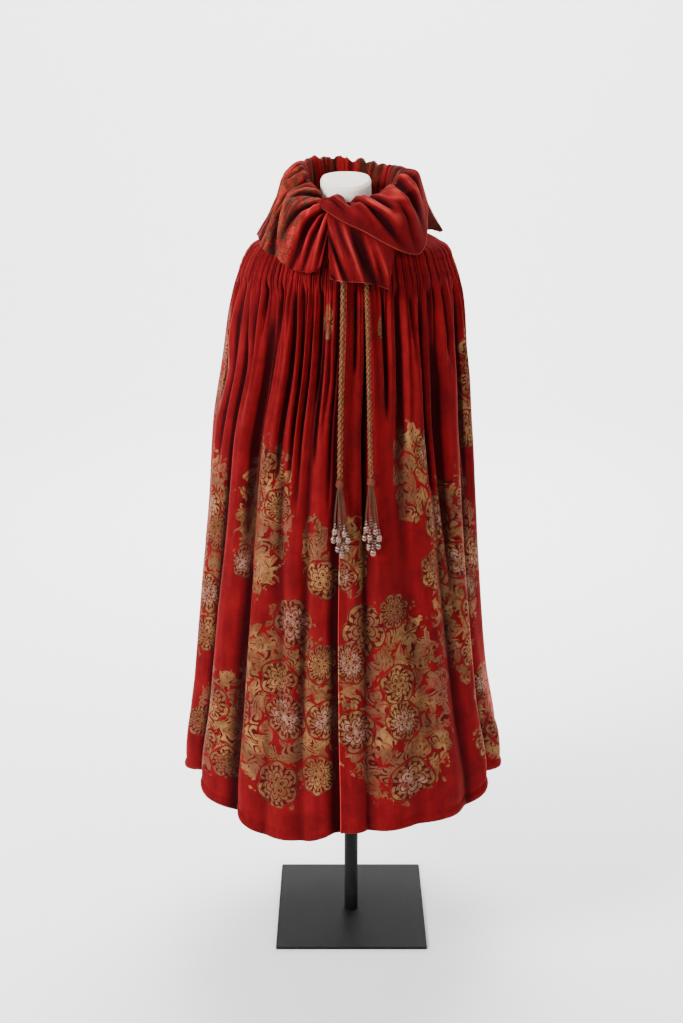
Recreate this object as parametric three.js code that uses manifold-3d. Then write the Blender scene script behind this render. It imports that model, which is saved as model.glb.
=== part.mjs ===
// A full velvet cloak with a ruched, rolled collar whose two ends cross over the throat, and two
// plaited cords with beaded tassels. It hangs on a limbless dress form on a pole and a square plate.
//
// Units are millimetres and +Z is up. The origin is on the floor, under the pole. The front faces -Y.
// Left and right are as seen from the front. An azimuth is in degrees: 0 at the front, 90 at the right.

import * as THREE from "three";
import { mergeVertices } from "three/addons/utils/BufferGeometryUtils.js";
import Module from "manifold-3d";

const wasm = await Module();
wasm.setup();

// Driving dimensions.
const WALL = 2.4; // the velvet's wall
const STITCH_WALL = 1.2; // the least wall under the shirring, whose inside is plain
const UNEVEN = 0.3; // how much more or less than its row's depth a gather may have
const SEAM = 0.4; // between two pieces sewn together
const SEAT = 0.6; // between a piece and what carries it
const SQUARENESS = 2.2; // exponent of the superellipse of each level section
const CELLS = 8; // cells across one main fold, in the cloak's lower part
const TUCK_CELLS = 2; // cells across the strip that the right front covers
const TUCK_START = -6; // where that strip starts, along the cloth from the right front's edge
const EDGE_CELLS = 5; // cells over which the gathers die out beside the front edges
const PLATE = { side: 305, thick: 6, back: 12 };
const POLE = { radius: 14, sides: 24, top: 858 };
const SOCKET = { radius: 14.6 }; // in the form's underside, up to the pole's top
const NECK_TILT = 15; // degrees that the neck's top leans forward
const BEAD = { radius: 5.2, height: 13, sides: 6 };

const rad = THREE.MathUtils.degToRad;
const mix = THREE.MathUtils.lerp;

// A table as a list of rows with named columns.
const table = (names, rows) =>
  rows.map((row) =>
    Object.fromEntries(names.split(" ").map((name, i) => [name, row[i]])),
  );

// The skirt's level sections, from the neck seam to the turned hem. half, front and back are its half
// width and depths, and middle its centre in X. outer and inner are the cells of one main fold.
// stitch, pleat and wave are the depths of 8, 4 and 2 gathers a fold. main is the share of the main
// folds' depth, and low how far they have changed into those at the hem. tuck is how far the left
// front's edge lies below the right one, lap how far it reaches under it, and lift the share of the
// hem's rise.
const SECTIONS = table(
  "z half front back middle outer inner stitch pleat wave main low tuck lap lift",
  [
    [1440, 66, 66, 56, -8, 8, 4, 0, 0, 0, 0, 0, 0, -SEAM, 0],
    [1425, 104, 92, 84, -8, 8, 4, 0, 0, 0, 0, 0, 3.8, -SEAM, 0],
    [1400, 160, 126, 118, -7, 8, 4, 0, 1.4, 0, 0, 0, 6, 12, 0],
    [1386, 181, 138, 130, -6, 16, 4, 1.8, 0, 0, 0, 0, 7, 14, 0],
    [1364, 192, 147, 142, -8, 16, 4, 1.8, 0, 0, 0, 0, 7, 14, 0],
    [1343, 200, 153, 150, -8, 16, 4, 1.8, 0, 0, 0, 0, 8, 14, 0],
    [1310, 211, 160, 158, -8, 8, 8, 0, 4.5, 2, 0.15, 0, 11, 14, 0],
    [1265, 221, 167, 166, -9, 8, 8, 0, 3, 5, 0.5, 0, 11, 14, 0],
    [1190, 231, 179, 178, -11, 8, 8, 0, 1.2, 4, 0.9, 0, 10, 14, 0],
    [1060, 246, 199, 197, -18, 8, 8, 0, 0, 2.5, 1, 0.1, 9, 14, 0],
    [900, 258, 222, 218, -19, 8, 8, 0, 0, 1.5, 1, 0.3, 9, 14, 0],
    [730, 276, 248, 241, -21, 8, 8, 0, 0, 1, 1, 0.5, 9, 14, 0],
    [560, 294, 274, 263, -20, 8, 8, 0, 0, 1, 1, 0.75, 9, 14, 0],
    [374, 317, 303, 288, -17, 8, 8, 0, 0, 1, 1, 1, 14, 14, 1],
    [356, 316, 302, 287, -17, 8, 8, 0, 0, 1, 1, 1, 14, 14, 1],
    [350, 309, 295, 280, -17, 8, 8, 0, 0, 1, 1, 1, 14, 14, 1],
  ],
);

// The valleys between the main folds, once round from the right front's edge. high and hem are a
// valley's azimuths above and at the hem, deep and open its depths there, and rise how much higher
// the hem is there than its section.
const VALLEYS = table("high hem deep open rise", [
  [-1.5, -1, 0, 0, 8],
  [11, 9, 9, 12, 8],
  [28, 27, 8, 8, 10],
  [47, 49, 20, 16, 8],
  [68, 66, 12, 46, 32],
  [89, 87, 10, 14, 16],
  [112, 113, 16, 34, 0],
  [136, 134, 9, 12, -6],
  [156, 157, 17, 38, 2],
  [181, 179, 9, 12, -8],
  [203, 204, 16, 32, 2],
  [229, 226, 11, 14, -4],
  [252, 253, 16, 36, 4],
  [277, 274, 10, 14, 8],
  [298, 293, 21, 50, 34],
  [316, 318, 14, 26, 8],
  [330, 332, 11, 8, -14],
  [343, 345, 10, 7, -14],
  [358.5, 359, 0, 0, 2],
]);

// The cloak's panels, from one valley to another. The left front ends under the right one.
const PANELS = table("name from to", [
  ["cloak_front_right", 0, 6],
  ["cloak_back", 6, 12],
  ["cloak_front_left", 12, 18],
]);

// The ruff's section at a few azimuths: its crest, belly and lower edge, as radius and height.
const RUFF = table("azimuth crest crest_z belly belly_z edge edge_z", [
  [70, 78, 1486, 124, 1450, 138, 1419],
  [80, 84, 1504, 128, 1464, 146, 1420],
  [90, 92, 1519, 138, 1476, 172, 1412],
  [120, 84, 1524, 142, 1474, 166, 1412],
  [150, 80, 1528, 138, 1476, 152, 1414],
  [180, 78, 1534, 134, 1478, 146, 1414],
  [210, 79, 1537, 136, 1478, 150, 1414],
  [240, 79, 1534, 137, 1476, 162, 1410],
  [270, 77, 1525, 136, 1472, 168, 1411],
  [290, 72, 1511, 140, 1463, 169, 1399],
  [301, 68, 1494, 147, 1450, 174, 1391],
  [312, 66, 1482, 146, 1441, 173, 1381],
  [323, 64, 1472, 143, 1433, 172, 1366],
  [336, 60, 1463, 133, 1424, 168, 1356],
  [343, 58, 1457, 121, 1421, 158, 1370],
]);
const RUFF_WRINKLES = 40;
const RUFF_WRINKLE_DEPTH = 4;

// Grooves between the ruff's lobes.
const GROOVES = table("azimuth depth width", [
  [120, 7, 5],
  [152, 6, 5],
  [198, 7, 5],
  [236, 6, 5],
  [268, 7, 4],
  [302, 14, 4.5],
  [322, 8, 4],
]);

// The end of the collar that crosses over the throat, by azimuth. Its base is on the neck seam, and
// at both ends it starts on top of the ruff instead.
const NECK_BASE = 65;
const SWATH = table("azimuth base base_z crest crest_z belly belly_z edge edge_z", [
  [-33, 78, 1475, 81, 1477, 87, 1474, 92, 1468],
  [-27, 64, 1472, 69, 1478, 88, 1472, 101, 1461],
  [-18, 58, 1466, 64, 1483, 92, 1473, 107, 1454],
  [-10, NECK_BASE, 1441, 61, 1478, 96, 1469, 114, 1446],
  [1, NECK_BASE, 1441, 60, 1469, 102, 1461, 123, 1436],
  [11, NECK_BASE, 1441, 67, 1480, 113, 1464, 134, 1426],
  [24, NECK_BASE, 1441, 74, 1481, 136, 1452, 158, 1406],
  [34, NECK_BASE, 1441, 80, 1482, 150, 1450, 173, 1391],
  [44, NECK_BASE, 1441, 86, 1492, 152, 1455, 172, 1385],
  [54, NECK_BASE, 1441, 92, 1503, 147, 1467, 166, 1398],
  [62, NECK_BASE, 1441, 96, 1511, 141, 1478, 157, 1420],
  [70, 95, 1511, 100, 1517, 136, 1487, 149, 1444],
  [80, 102, 1521, 106, 1524, 134, 1496, 144, 1464],
]);
const SWATH_CELLS = 29;
const SWATH_FOLDS = 3;
const SWATH_FOLD_DEPTH = 5;

// The hanging end of the collar: its lower edge from left to right, and how far the cloth above it
// stands out. Its upper edge lies under the crossing end, between two of that one's columns.
const HANGING = table("x y z bulge", [
  [-40, -177, 1350, 4],
  [-20, -183, 1346, 9],
  [6, -185, 1345, 8],
  [34, -183, 1341, 9],
  [60, -175, 1332, 5],
]);
const HANGING_COLUMNS = { first: 3, last: 16 };
const HANGING_ROWS = 6;

// The rings of a collar piece, as shares of its path from base over crest and belly to edge.
const COLLAR_STEPS = [0, 0.13, 0.25, 0.5, 0.75, 0.88, 1];
const LAST_RING = COLLAR_STEPS.length - 1;

// The dress form's sections, from its underside to the top of its neck. lean is the share of the
// neck's tilt. Its widest ring under the cloak's neck seam is what carries the cloak.
const FORM = table("z half front back middle lean", [
  [800, 148, 104, 104, -4, 0],
  [812, 158, 112, 112, -4, 0],
  [880, 164, 116, 118, -5, 0],
  [960, 144, 106, 104, -6, 0],
  [1050, 118, 96, 88, -7, 0],
  [1150, 132, 112, 98, -7, 0],
  [1230, 146, 126, 108, -7, 0],
  [1300, 150, 118, 116, -7, 0],
  [1360, 150, 104, 112, -7, 0],
  [1388, 140, 94, 100, -7, 0],
  [1412, 112, 82, 82, -8, 0],
  [1424, 88, 72, 68, -8, 0],
  [1438.4, 65.3, 65.3, 55.3, -8, 0],
  [1450, 50, 54, 40, -10, 0.2],
  [1474, 45, 52, 36, -11.5, 0.6],
  [1500, 45.5, 54, 34, -12.5, 1],
  [1506, 42.5, 51, 31, -12.5, 1],
]);
const FORM_SIDES = 30;

// The cords' routes from under the collar to their knots, chosen by hand.
const CORDS = {
  left: {
    radius: 6.5,
    route: [
      [-15, -97, 1428],
      [-16, -131, 1405],
      [-17, -153, 1370],
      [-17, -164, 1335],
      [-18, -177, 1265],
      [-20, -191, 1180],
      [-22, -206, 1085],
      [-23, -217, 1010],
    ],
  },
  right: {
    radius: 5.6,
    route: [
      [22, -96, 1428],
      [23, -131, 1406],
      [23, -154, 1370],
      [23, -162, 1335],
      [25, -174, 1265],
      [27, -188, 1180],
      [29, -204, 1085],
      [31, -215, 1013],
    ],
  },
};
const CORD_SIDES = 8;
const CORD_STEPS = 16;

// A tassel's strands: how far each hangs to the side and out from the cloth, and how far its bead is
// below the knot, each bead at the end of its strand.
const STRANDS = table("side out drop", [
  [-17, 0, 92],
  [-13, 9, 74],
  [-7, 1, 108],
  [-5, 10, 88],
  [0, 0, 70],
  [2, 8, 116],
  [6, 1, 98],
  [9, 10, 78],
  [14, 2, 106],
  [17, 8, 90],
]);
const STRAND_RADIUS = 1.5;
const KNOT_RADIUS = 9;
const KNOT_HEIGHT = 20;

const COLOURS = {
  velvet: { color: 0xa8141c, roughness: 0.75, metalness: 0 },
  collar: { color: 0xb0161e, roughness: 0.75, metalness: 0 },
  form: { color: 0xe6e0d4, roughness: 0.9, metalness: 0 },
  steel: { color: 0x131314, roughness: 0.5, metalness: 0.6 },
  cord: { color: 0x8a5a2c, roughness: 0.7, metalness: 0.1 },
  bead: { color: 0xa5604e, roughness: 0.35, metalness: 0 },
};

// Builds a BufferGeometry from shared points and triangles.
function geometryOf(points, triangles) {
  const geometry = new THREE.BufferGeometry();
  geometry.setAttribute(
    "position",
    new THREE.Float32BufferAttribute(points.flat(), 3),
  );
  geometry.setIndex(triangles);
  geometry.computeVertexNormals();
  return geometry;
}

// Joins two rings of points, given by their numbers. The surface faces a viewer who sees the first
// ring above the second and both running to the right. One may have twice the cells of the other.
function zip(triangles, a, b) {
  const cells = Math.min(a.length, b.length) - 1;
  const stepA = (a.length - 1) / cells;
  const stepB = (b.length - 1) / cells;
  for (let i = 0; i < cells; i++) {
    const [a0, a1] = [a[i * stepA], a[(i + 1) * stepA]];
    const [b0, b1] = [b[i * stepB], b[(i + 1) * stepB]];
    if (stepA === 2) {
      const middle = a[i * 2 + 1];
      triangles.push(a0, b0, middle, middle, b0, b1, middle, b1, a1);
    } else if (stepB === 2) {
      const middle = b[i * 2 + 1];
      triangles.push(a0, b0, middle, a0, middle, a1, a1, middle, b1);
    } else {
      triangles.push(a0, b0, b1, a0, b1, a1);
    }
  }
}

// A closed piece of cloth between an outer and an inner surface, each a list of open rings from its
// upper to its lower edge, with azimuth growing along each ring.
function clothGeometry(outer, inner) {
  const points = [];
  const triangles = [];
  const number = (ring) => ring.map((point) => points.push(point) - 1);
  const outerRings = outer.map(number);
  const innerRings = inner.map(number);
  const last = outerRings.length - 1;
  for (let k = 0; k < last; k++) {
    zip(triangles, outerRings[k], outerRings[k + 1]);
    zip(triangles, innerRings[k + 1], innerRings[k]);
  }
  zip(triangles, outerRings[last], innerRings[last]);
  zip(triangles, innerRings[0], outerRings[0]);
  for (let k = 0; k < last; k++) {
    const [o0, o1] = [outerRings[k][0], outerRings[k + 1][0]];
    const [i0, i1] = [innerRings[k][0], innerRings[k + 1][0]];
    triangles.push(o0, i0, i1, o0, i1, o1);
    const [p0, p1] = [outerRings[k].at(-1), outerRings[k + 1].at(-1)];
    const [q0, q1] = [innerRings[k].at(-1), innerRings[k + 1].at(-1)];
    triangles.push(p0, q1, q0, p0, p1, q1);
  }
  return geometryOf(points, triangles);
}

// The radius of a section with unlike front and back depths, a superellipse, at an azimuth.
function sectionRadius(section, azimuth) {
  const side = Math.abs(Math.sin(rad(azimuth))) / section.half;
  const depth = Math.cos(rad(azimuth)) > 0 ? section.front : section.back;
  const along = Math.abs(Math.cos(rad(azimuth))) / depth;
  return (side ** SQUARENESS + along ** SQUARENESS) ** (-1 / SQUARENESS);
}

// The unit direction out of a curve of radius and height at one of its points: left of its way.
function outward(curve, k) {
  const before = curve[Math.max(k - 1, 0)];
  const after = curve[Math.min(k + 1, curve.length - 1)];
  const [dr, dz] = [after[0] - before[0], after[1] - before[1]];
  const length = Math.hypot(dr, dz);
  return [-dz / length, dr / length];
}

// The point at a radius, azimuth and height round an upright axis at X = middle.
const around = (middle, azimuth, radius, z) => [
  middle + radius * Math.sin(rad(azimuth)),
  -radius * Math.cos(rad(azimuth)),
  z,
];

// The azimuth of the left front's covered strip, whose cells count on from the last valley.
function tuckAzimuth(section, cell) {
  const opening = mix(VALLEYS.at(-1).high, VALLEYS.at(-1).hem, section.low);
  const along = mix(TUCK_START, section.lap, cell / TUCK_CELLS);
  return opening + THREE.MathUtils.radToDeg(along / sectionRadius(section, 0));
}

// The azimuth of a place on the cloak. fold counts the main folds from the right front's edge.
function foldAzimuth(section, fold) {
  const k = Math.min(Math.floor(fold), VALLEYS.length - 2);
  const at = (valley) => mix(valley.high, valley.hem, section.low);
  const end =
    k === VALLEYS.length - 2
      ? tuckAzimuth(section, 0)
      : at(VALLEYS[k + 1]);
  return mix(at(VALLEYS[k]), end, fold - k);
}

// How much higher the hem is than its section at a place on the cloak.
function hemRise(section, fold) {
  const k = Math.min(Math.floor(fold), VALLEYS.length - 2);
  const f = THREE.MathUtils.smoothstep(fold - k, 0, 1);
  return section.lift * mix(VALLEYS[k].rise, VALLEYS[k + 1].rise, f);
}

// How deep the cloth lies below its section: the main fold's valley, and the gathers, which die out
// beside the front edges.
function foldDepth(section, fold) {
  const k = Math.min(Math.floor(fold), VALLEYS.length - 2);
  const f = fold - k;
  const at = (valley) =>
    mix(valley.deep, valley.open, section.low) * section.main;
  const end = k === VALLEYS.length - 2 ? section.tuck : at(VALLEYS[k + 1]);
  const valley = mix(at(VALLEYS[k]), end, f) * (1 - Math.sin(Math.PI * f));
  const edge = Math.min(fold, VALLEYS.length - 1 - fold) * CELLS;
  const fade = Math.min(1, edge / EDGE_CELLS);
  const gather = (depth, count) =>
    depth * (0.5 + 0.5 * Math.cos(2 * Math.PI * count * f));
  const uneven = 1 + UNEVEN * Math.sin(5.3 * fold + section.z / 70);
  const gathers =
    gather(section.stitch, 8) +
    (gather(section.pleat, 4) + gather(section.wave, 2)) * uneven;
  return valley + gathers * fade;
}

// One of the cloak's panels, from one main valley to another.
function panelGeometry({ from, to }) {
  const isLeft = to === VALLEYS.length - 1;
  const surface = (inside) =>
    SECTIONS.map((section, k) => {
      const perFold = inside ? section.inner : section.outer;
      const plain = inside && section.main === 0;
      const ring = [];
      const place = (fold, azimuth, depth) => {
        const curve = SECTIONS.map((s) => [sectionRadius(s, azimuth), s.z]);
        const normal = outward(curve, k);
        const along = section.main > 0 ? [1, 0] : normal;
        const gathers = section.stitch + (1 + UNEVEN) * section.pleat;
        const wall = plain ? STITCH_WALL + gathers : inside ? WALL : 0;
        ring.push(
          around(
            section.middle,
            azimuth,
            curve[k][0] - depth * along[0] - wall * normal[0],
            curve[k][1] -
              depth * along[1] -
              wall * normal[1] +
              hemRise(section, fold),
          ),
        );
      };
      const cells = (to - from) * perFold;
      const seam = THREE.MathUtils.radToDeg(
        SEAM / 2 / sectionRadius(section, foldAzimuth(section, from)),
      );
      for (let i = 0; i <= cells; i++) {
        const fold = from + i / perFold;
        let azimuth = foldAzimuth(section, fold);
        if (i === 0) azimuth += seam;
        if (i === cells && !isLeft) azimuth -= seam;
        const tucked = isLeft && i === cells ? section.tuck : 0;
        place(fold, azimuth, plain ? tucked : foldDepth(section, fold));
      }
      if (isLeft) {
        const tuckCells = (TUCK_CELLS * perFold) / CELLS;
        for (let i = 1; i <= tuckCells; i++)
          place(
            to,
            tuckAzimuth(section, (i / tuckCells) * TUCK_CELLS),
            section.tuck,
          );
      }
      return ring;
    });
  return clothGeometry(surface(false), surface(true));
}

// The slope of a curve at a point between two stretches, so that it never overshoots its points.
const gentle = (before, after) =>
  before * after > 0 ? (2 * before * after) / (before + after) : 0;

// A row of a table at an azimuth, each column a smooth curve through the rows.
function rowAt(rows, azimuth) {
  const next = rows.findIndex((row) => row.azimuth > azimuth);
  const k = next < 0 ? rows.length - 2 : Math.max(next - 1, 0);
  const [p, q] = [rows[k], rows[k + 1]];
  const [o, r] = [rows[k - 1] ?? p, rows[k + 2] ?? q];
  const span = q.azimuth - p.azimuth;
  const t = THREE.MathUtils.clamp((azimuth - p.azimuth) / span, 0, 1);
  const row = {};
  for (const name of Object.keys(p)) {
    const slope = (a, b) =>
      a === b ? 0 : (b[name] - a[name]) / (b.azimuth - a.azimuth);
    const here = slope(p, q);
    const before = o === p ? here : gentle(slope(o, p), here);
    const after = r === q ? here : gentle(here, slope(q, r));
    row[name] =
      (2 * t ** 3 - 3 * t ** 2 + 1) * p[name] +
      (t ** 3 - 2 * t ** 2 + t) * span * before +
      (3 * t ** 2 - 2 * t ** 3) * q[name] +
      (t ** 3 - t ** 2) * span * after;
  }
  return row;
}

// The path of a collar piece's section, from its base over the crest to its lower edge.
function collarPath(row) {
  const curve = new THREE.SplineCurve([
    new THREE.Vector2(row.base, row.base_z),
    new THREE.Vector2(row.crest, row.crest_z),
    new THREE.Vector2(
      mix(row.crest, row.belly, 0.68),
      mix(row.crest_z, row.belly_z, 0.2),
    ),
    new THREE.Vector2(row.belly, row.belly_z),
    new THREE.Vector2(row.edge, row.edge_z),
  ]);
  return COLLAR_STEPS.map((t) => curve.getPoint(t).toArray());
}

// A collar piece's outer and inner rings. row gives its section at an azimuth, and depth how deep a
// fold lies at a column and a share of the way from base to edge.
function collarRings(azimuths, row, depth) {
  const middle = SECTIONS[0].middle;
  const columns = azimuths.map((azimuth, i) => {
    const path = collarPath(row(azimuth));
    return path.map(([radius, z], k) => {
      const normal = outward(path, k);
      const share = COLLAR_STEPS[k];
      const place = (down) =>
        around(
          middle,
          azimuth,
          radius - down * normal[0],
          z - down * normal[1],
        );
      const fold = depth(i, azimuth, share);
      return { outer: place(fold), inner: place(fold + WALL) };
    });
  });
  const rings = (side) =>
    COLLAR_STEPS.map((_, k) => columns.map((column) => column[k][side]));
  return { outer: rings("outer"), inner: rings("inner") };
}

// Evenly spaced values from start to end, both included.
const evenly = (start, end, cells) =>
  Array.from({ length: cells + 1 }, (_, i) => mix(start, end, i / cells));

// The ruff: the gathered collar round the left, the back and the right, with two cells a wrinkle.
function ruffRings() {
  const azimuths = evenly(
    RUFF[0].azimuth,
    RUFF.at(-1).azimuth,
    RUFF_WRINKLES * 2,
  );
  const row = (azimuth) => {
    const section = rowAt(RUFF, azimuth);
    const neck = sectionRadius(SECTIONS[0], azimuth) - 1;
    return { ...section, base: neck, base_z: SECTIONS[0].z + SEAT };
  };
  const depth = (i, azimuth, share) => {
    const swell = Math.sin(Math.PI * Math.min(share * 1.3, 1) * 0.9);
    const calm = THREE.MathUtils.clamp((azimuth - RUFF[1].azimuth) / 12, 0.2, 1);
    const groove = GROOVES.reduce(
      (sum, g) =>
        sum + g.depth * Math.exp(-(((azimuth - g.azimuth) / g.width) ** 2)),
      0,
    );
    const wrinkle = RUFF_WRINKLE_DEPTH * (i % 2) * (1 + 0.4 * Math.sin(i * 1.7));
    return (wrinkle + groove) * swell * calm;
  };
  return collarRings(azimuths, row, depth);
}

// The end that crosses over the throat, with folds that run down to the right.
function swathRings() {
  const azimuths = evenly(SWATH[0].azimuth, SWATH.at(-1).azimuth, SWATH_CELLS);
  const depth = (i, azimuth, share) => {
    const across = i / SWATH_CELLS;
    const phase = share * 0.9 - across * 1.1;
    const wave = 0.5 - 0.5 * Math.cos(2 * Math.PI * SWATH_FOLDS * phase);
    const ends = Math.sin(Math.PI * across) ** 0.5;
    return SWATH_FOLD_DEPTH * wave * ends * Math.sin(Math.PI * share);
  };
  return collarRings(azimuths, (azimuth) => rowAt(SWATH, azimuth), depth);
}

// A point moved towards the neck's axis.
function movedIn([x, y, z], distance) {
  const middle = SECTIONS[0].middle;
  const length = Math.hypot(x - middle, y);
  const scale = 1 - distance / length;
  return [middle + (x - middle) * scale, y * scale, z];
}

// The hanging end. Its two upper rows are made from the crossing end's inner points, moved in.
function hangingRings(swath) {
  const { first, last } = HANGING_COLUMNS;
  const columns = last - first;
  const under = (ring, distance) =>
    swath.inner[ring]
      .slice(first, last + 1)
      .map((point) => movedIn(point, distance));
  const lower = new THREE.CatmullRomCurve3(
    HANGING.map((p) => new THREE.Vector3(p.x, p.y, p.z)),
  );
  const edge = lower.getPoints(columns);
  const start = under(LAST_RING, SEAT * 2);
  const outer = [under(LAST_RING - 1, SEAT), start];
  for (let k = 1; k <= HANGING_ROWS; k++) {
    const t = k / HANGING_ROWS;
    outer.push(
      start.map((from, i) => {
        const across = i / columns;
        const row = across * (HANGING.length - 1);
        const near = Math.min(Math.floor(row), HANGING.length - 2);
        const bulge = mix(HANGING[near].bulge, HANGING[near + 1].bulge, row - near);
        const fold = 3 * Math.cos(2 * Math.PI * (across * 2.5 - t * 0.7));
        const out = (bulge + fold) * Math.sin(Math.PI * t * 0.85);
        return [
          mix(from[0], edge[i].x, t),
          mix(from[1], edge[i].y, t) - out,
          mix(from[2], edge[i].z, t) + out * 0.3,
        ];
      }),
    );
  }
  const inner = outer.map((ring) => ring.map((point) => movedIn(point, WALL)));
  return { outer, inner };
}

// The smooth body of the dress form, with a socket for the pole in its underside.
function formGeometry() {
  const points = [];
  const ring = (place) =>
    Array.from({ length: FORM_SIDES }, (_, i) => {
      points.push(place((360 * i) / FORM_SIDES));
      return points.length - 1;
    });
  const socketTop = POLE.top + SEAM;
  const rings = [
    ring((azimuth) => around(0, azimuth, SOCKET.radius, socketTop)),
    ring((azimuth) => around(0, azimuth, SOCKET.radius, FORM[0].z)),
    ...FORM.map((section) =>
      ring((azimuth) => {
        const point = around(
          section.middle,
          azimuth,
          sectionRadius(section, azimuth),
          section.z,
        );
        point[2] += point[1] * Math.tan(rad(NECK_TILT)) * section.lean;
        return point;
      }),
    ),
  ];
  const triangles = [];
  for (let k = 0; k < rings.length - 1; k++)
    zip(
      triangles,
      [...rings[k + 1], rings[k + 1][0]],
      [...rings[k], rings[k][0]],
    );
  const fan = (ring, centre, flip) => {
    const middle = points.push(centre) - 1;
    for (let i = 0; i < FORM_SIDES; i++) {
      const next = ring[(i + 1) % FORM_SIDES];
      if (flip) triangles.push(middle, next, ring[i]);
      else triangles.push(middle, ring[i], next);
    }
  };
  const top = FORM.at(-1);
  const topY = (top.back - top.front) / 2;
  fan(rings[0], [0, 0, socketTop], true);
  fan(
    rings.at(-1),
    [top.middle, topY, top.z + topY * Math.tan(rad(NECK_TILT)) + 2],
    false,
  );
  return geometryOf(points, triangles);
}

// A regular polygon, for sections that are drawn along a path.
function polygon(radius, sides) {
  const shape = new THREE.Shape();
  for (let i = 0; i < sides; i++) {
    const angle = (2 * Math.PI * i) / sides;
    const corner = [radius * Math.cos(angle), radius * Math.sin(angle)];
    if (i === 0) shape.moveTo(...corner);
    else shape.lineTo(...corner);
  }
  shape.closePath();
  return shape;
}

const routeOf = (cord) =>
  new THREE.CatmullRomCurve3(cord.route.map((p) => new THREE.Vector3(...p)));

// A bar of a few sides along a path.
const barGeometry = (path, radius, sides, steps) =>
  new THREE.ExtrudeGeometry(polygon(radius, sides), {
    extrudePath: path,
    steps,
    bevelEnabled: false,
  });

// A closed geometry as a solid that can be joined to another.
function solidOf(geometry) {
  const bare = geometry.clone();
  for (const name of ["normal", "uv"]) bare.deleteAttribute(name);
  const merged = mergeVertices(bare, 1e-4);
  return new wasm.Manifold(
    new wasm.Mesh({
      numProp: 3,
      vertProperties: merged.attributes.position.array,
      triVerts: new Uint32Array(merged.index.array),
    }),
  );
}

// A solid as a geometry again.
function fromSolid(solid) {
  const mesh = solid.getMesh();
  const geometry = new THREE.BufferGeometry();
  geometry.setAttribute(
    "position",
    new THREE.BufferAttribute(new Float32Array(mesh.vertProperties), 3),
  );
  geometry.setIndex(Array.from(mesh.triVerts));
  geometry.computeVertexNormals();
  return geometry;
}

// A turned piece round its own Z axis, from its lowest to its highest point, placed along a way.
function turned(profile, sides, at, way) {
  const geometry = new THREE.LatheGeometry(
    profile.map(([radius, z]) => new THREE.Vector2(radius, z)),
    sides,
  );
  const turn = new THREE.Quaternion().setFromUnitVectors(
    new THREE.Vector3(0, 1, 0),
    way,
  );
  geometry.applyQuaternion(turn);
  geometry.translate(at.x, at.y, at.z);
  return geometry;
}

// A tassel: the cord's knot, with strands fused into it and a bead round each strand's end. It lies
// along the cloth, so it hangs a little outwards.
function tasselGeometry(cord) {
  const route = routeOf(cord);
  const end = route.getPointAt(1);
  const up = route.getTangentAt(1).negate();
  const top = end.clone().addScaledVector(up, -SEAM);
  const down = new THREE.Vector3(0.02, -0.15, -1).normalize();
  const knot = turned(
    [
      [0, -KNOT_HEIGHT],
      [KNOT_RADIUS * 0.6, -KNOT_HEIGHT],
      [KNOT_RADIUS, -KNOT_HEIGHT * 0.65],
      [KNOT_RADIUS, -KNOT_HEIGHT * 0.3],
      [KNOT_RADIUS * 0.6, 0],
      [0, 0],
    ],
    8,
    top,
    up,
  );
  let solid = solidOf(knot);
  const root = top.clone().addScaledVector(up, -KNOT_HEIGHT * 0.7);
  for (const { side, out, drop } of STRANDS) {
    const away = new THREE.Vector3(side, -out, 0);
    const spread = root.clone().addScaledVector(down, drop * 0.5);
    spread.addScaledVector(away, 0.85);
    const tip = root.clone().addScaledVector(down, drop).add(away);
    const path = new THREE.QuadraticBezierCurve3(
      root.clone().addScaledVector(away, 0.2),
      spread,
      tip,
    );
    solid = solid.add(solidOf(barGeometry(path, STRAND_RADIUS, 3, 2)));
    const bead = turned(
      [
        [0, -BEAD.height],
        [BEAD.radius * 0.6, -BEAD.height],
        [BEAD.radius, -BEAD.height / 2],
        [BEAD.radius * 0.6, 0],
        [0, 0],
      ],
      BEAD.sides,
      tip.clone().addScaledVector(down, -BEAD.height * 0.8),
      down.clone().negate(),
    );
    solid = solid.add(solidOf(bead));
  }
  return fromSolid(solid);
}

const materials = Object.fromEntries(
  Object.entries(COLOURS).map(([name, values]) => [
    name,
    new THREE.MeshStandardMaterial(values),
  ]),
);

const part = new THREE.Group();

function addMesh(name, geometry, material) {
  const mesh = new THREE.Mesh(geometry, material);
  mesh.name = name;
  part.add(mesh);
  return mesh;
}

// The stand: a square plate, the pole and the dress form.
const plate = addMesh(
  "base_plate",
  new THREE.BoxGeometry(PLATE.side, PLATE.side, PLATE.thick),
  materials.steel,
);
plate.position.set(0, PLATE.back, PLATE.thick / 2);
const poleFoot = PLATE.thick + SEAM;
const poleHeight = POLE.top - poleFoot;
const pole = addMesh(
  "pole",
  new THREE.CylinderGeometry(POLE.radius, POLE.radius, poleHeight, POLE.sides),
  materials.steel,
);
pole.rotation.x = Math.PI / 2;
pole.position.z = poleFoot + poleHeight / 2;
addMesh("dress_form", formGeometry(), materials.form);

// The cloak's panels and its collar.
for (const panel of PANELS)
  addMesh(panel.name, panelGeometry(panel), materials.velvet);
const ruff = ruffRings();
const swath = swathRings();
const hanging = hangingRings(swath);
addMesh("collar_ruff", clothGeometry(ruff.outer, ruff.inner), materials.collar);
addMesh(
  "collar_end_over",
  clothGeometry(swath.outer, swath.inner),
  materials.collar,
);
addMesh(
  "collar_end_hanging",
  clothGeometry(hanging.outer, hanging.inner),
  materials.collar,
);

// The cords and their tassels.
for (const [side, cord] of Object.entries(CORDS)) {
  addMesh(
    "cord_" + side,
    barGeometry(routeOf(cord), cord.radius, CORD_SIDES, CORD_STEPS),
    materials.cord,
  );
  addMesh("tassel_" + side, tasselGeometry(cord), materials.bead);
}

export default part;
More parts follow.
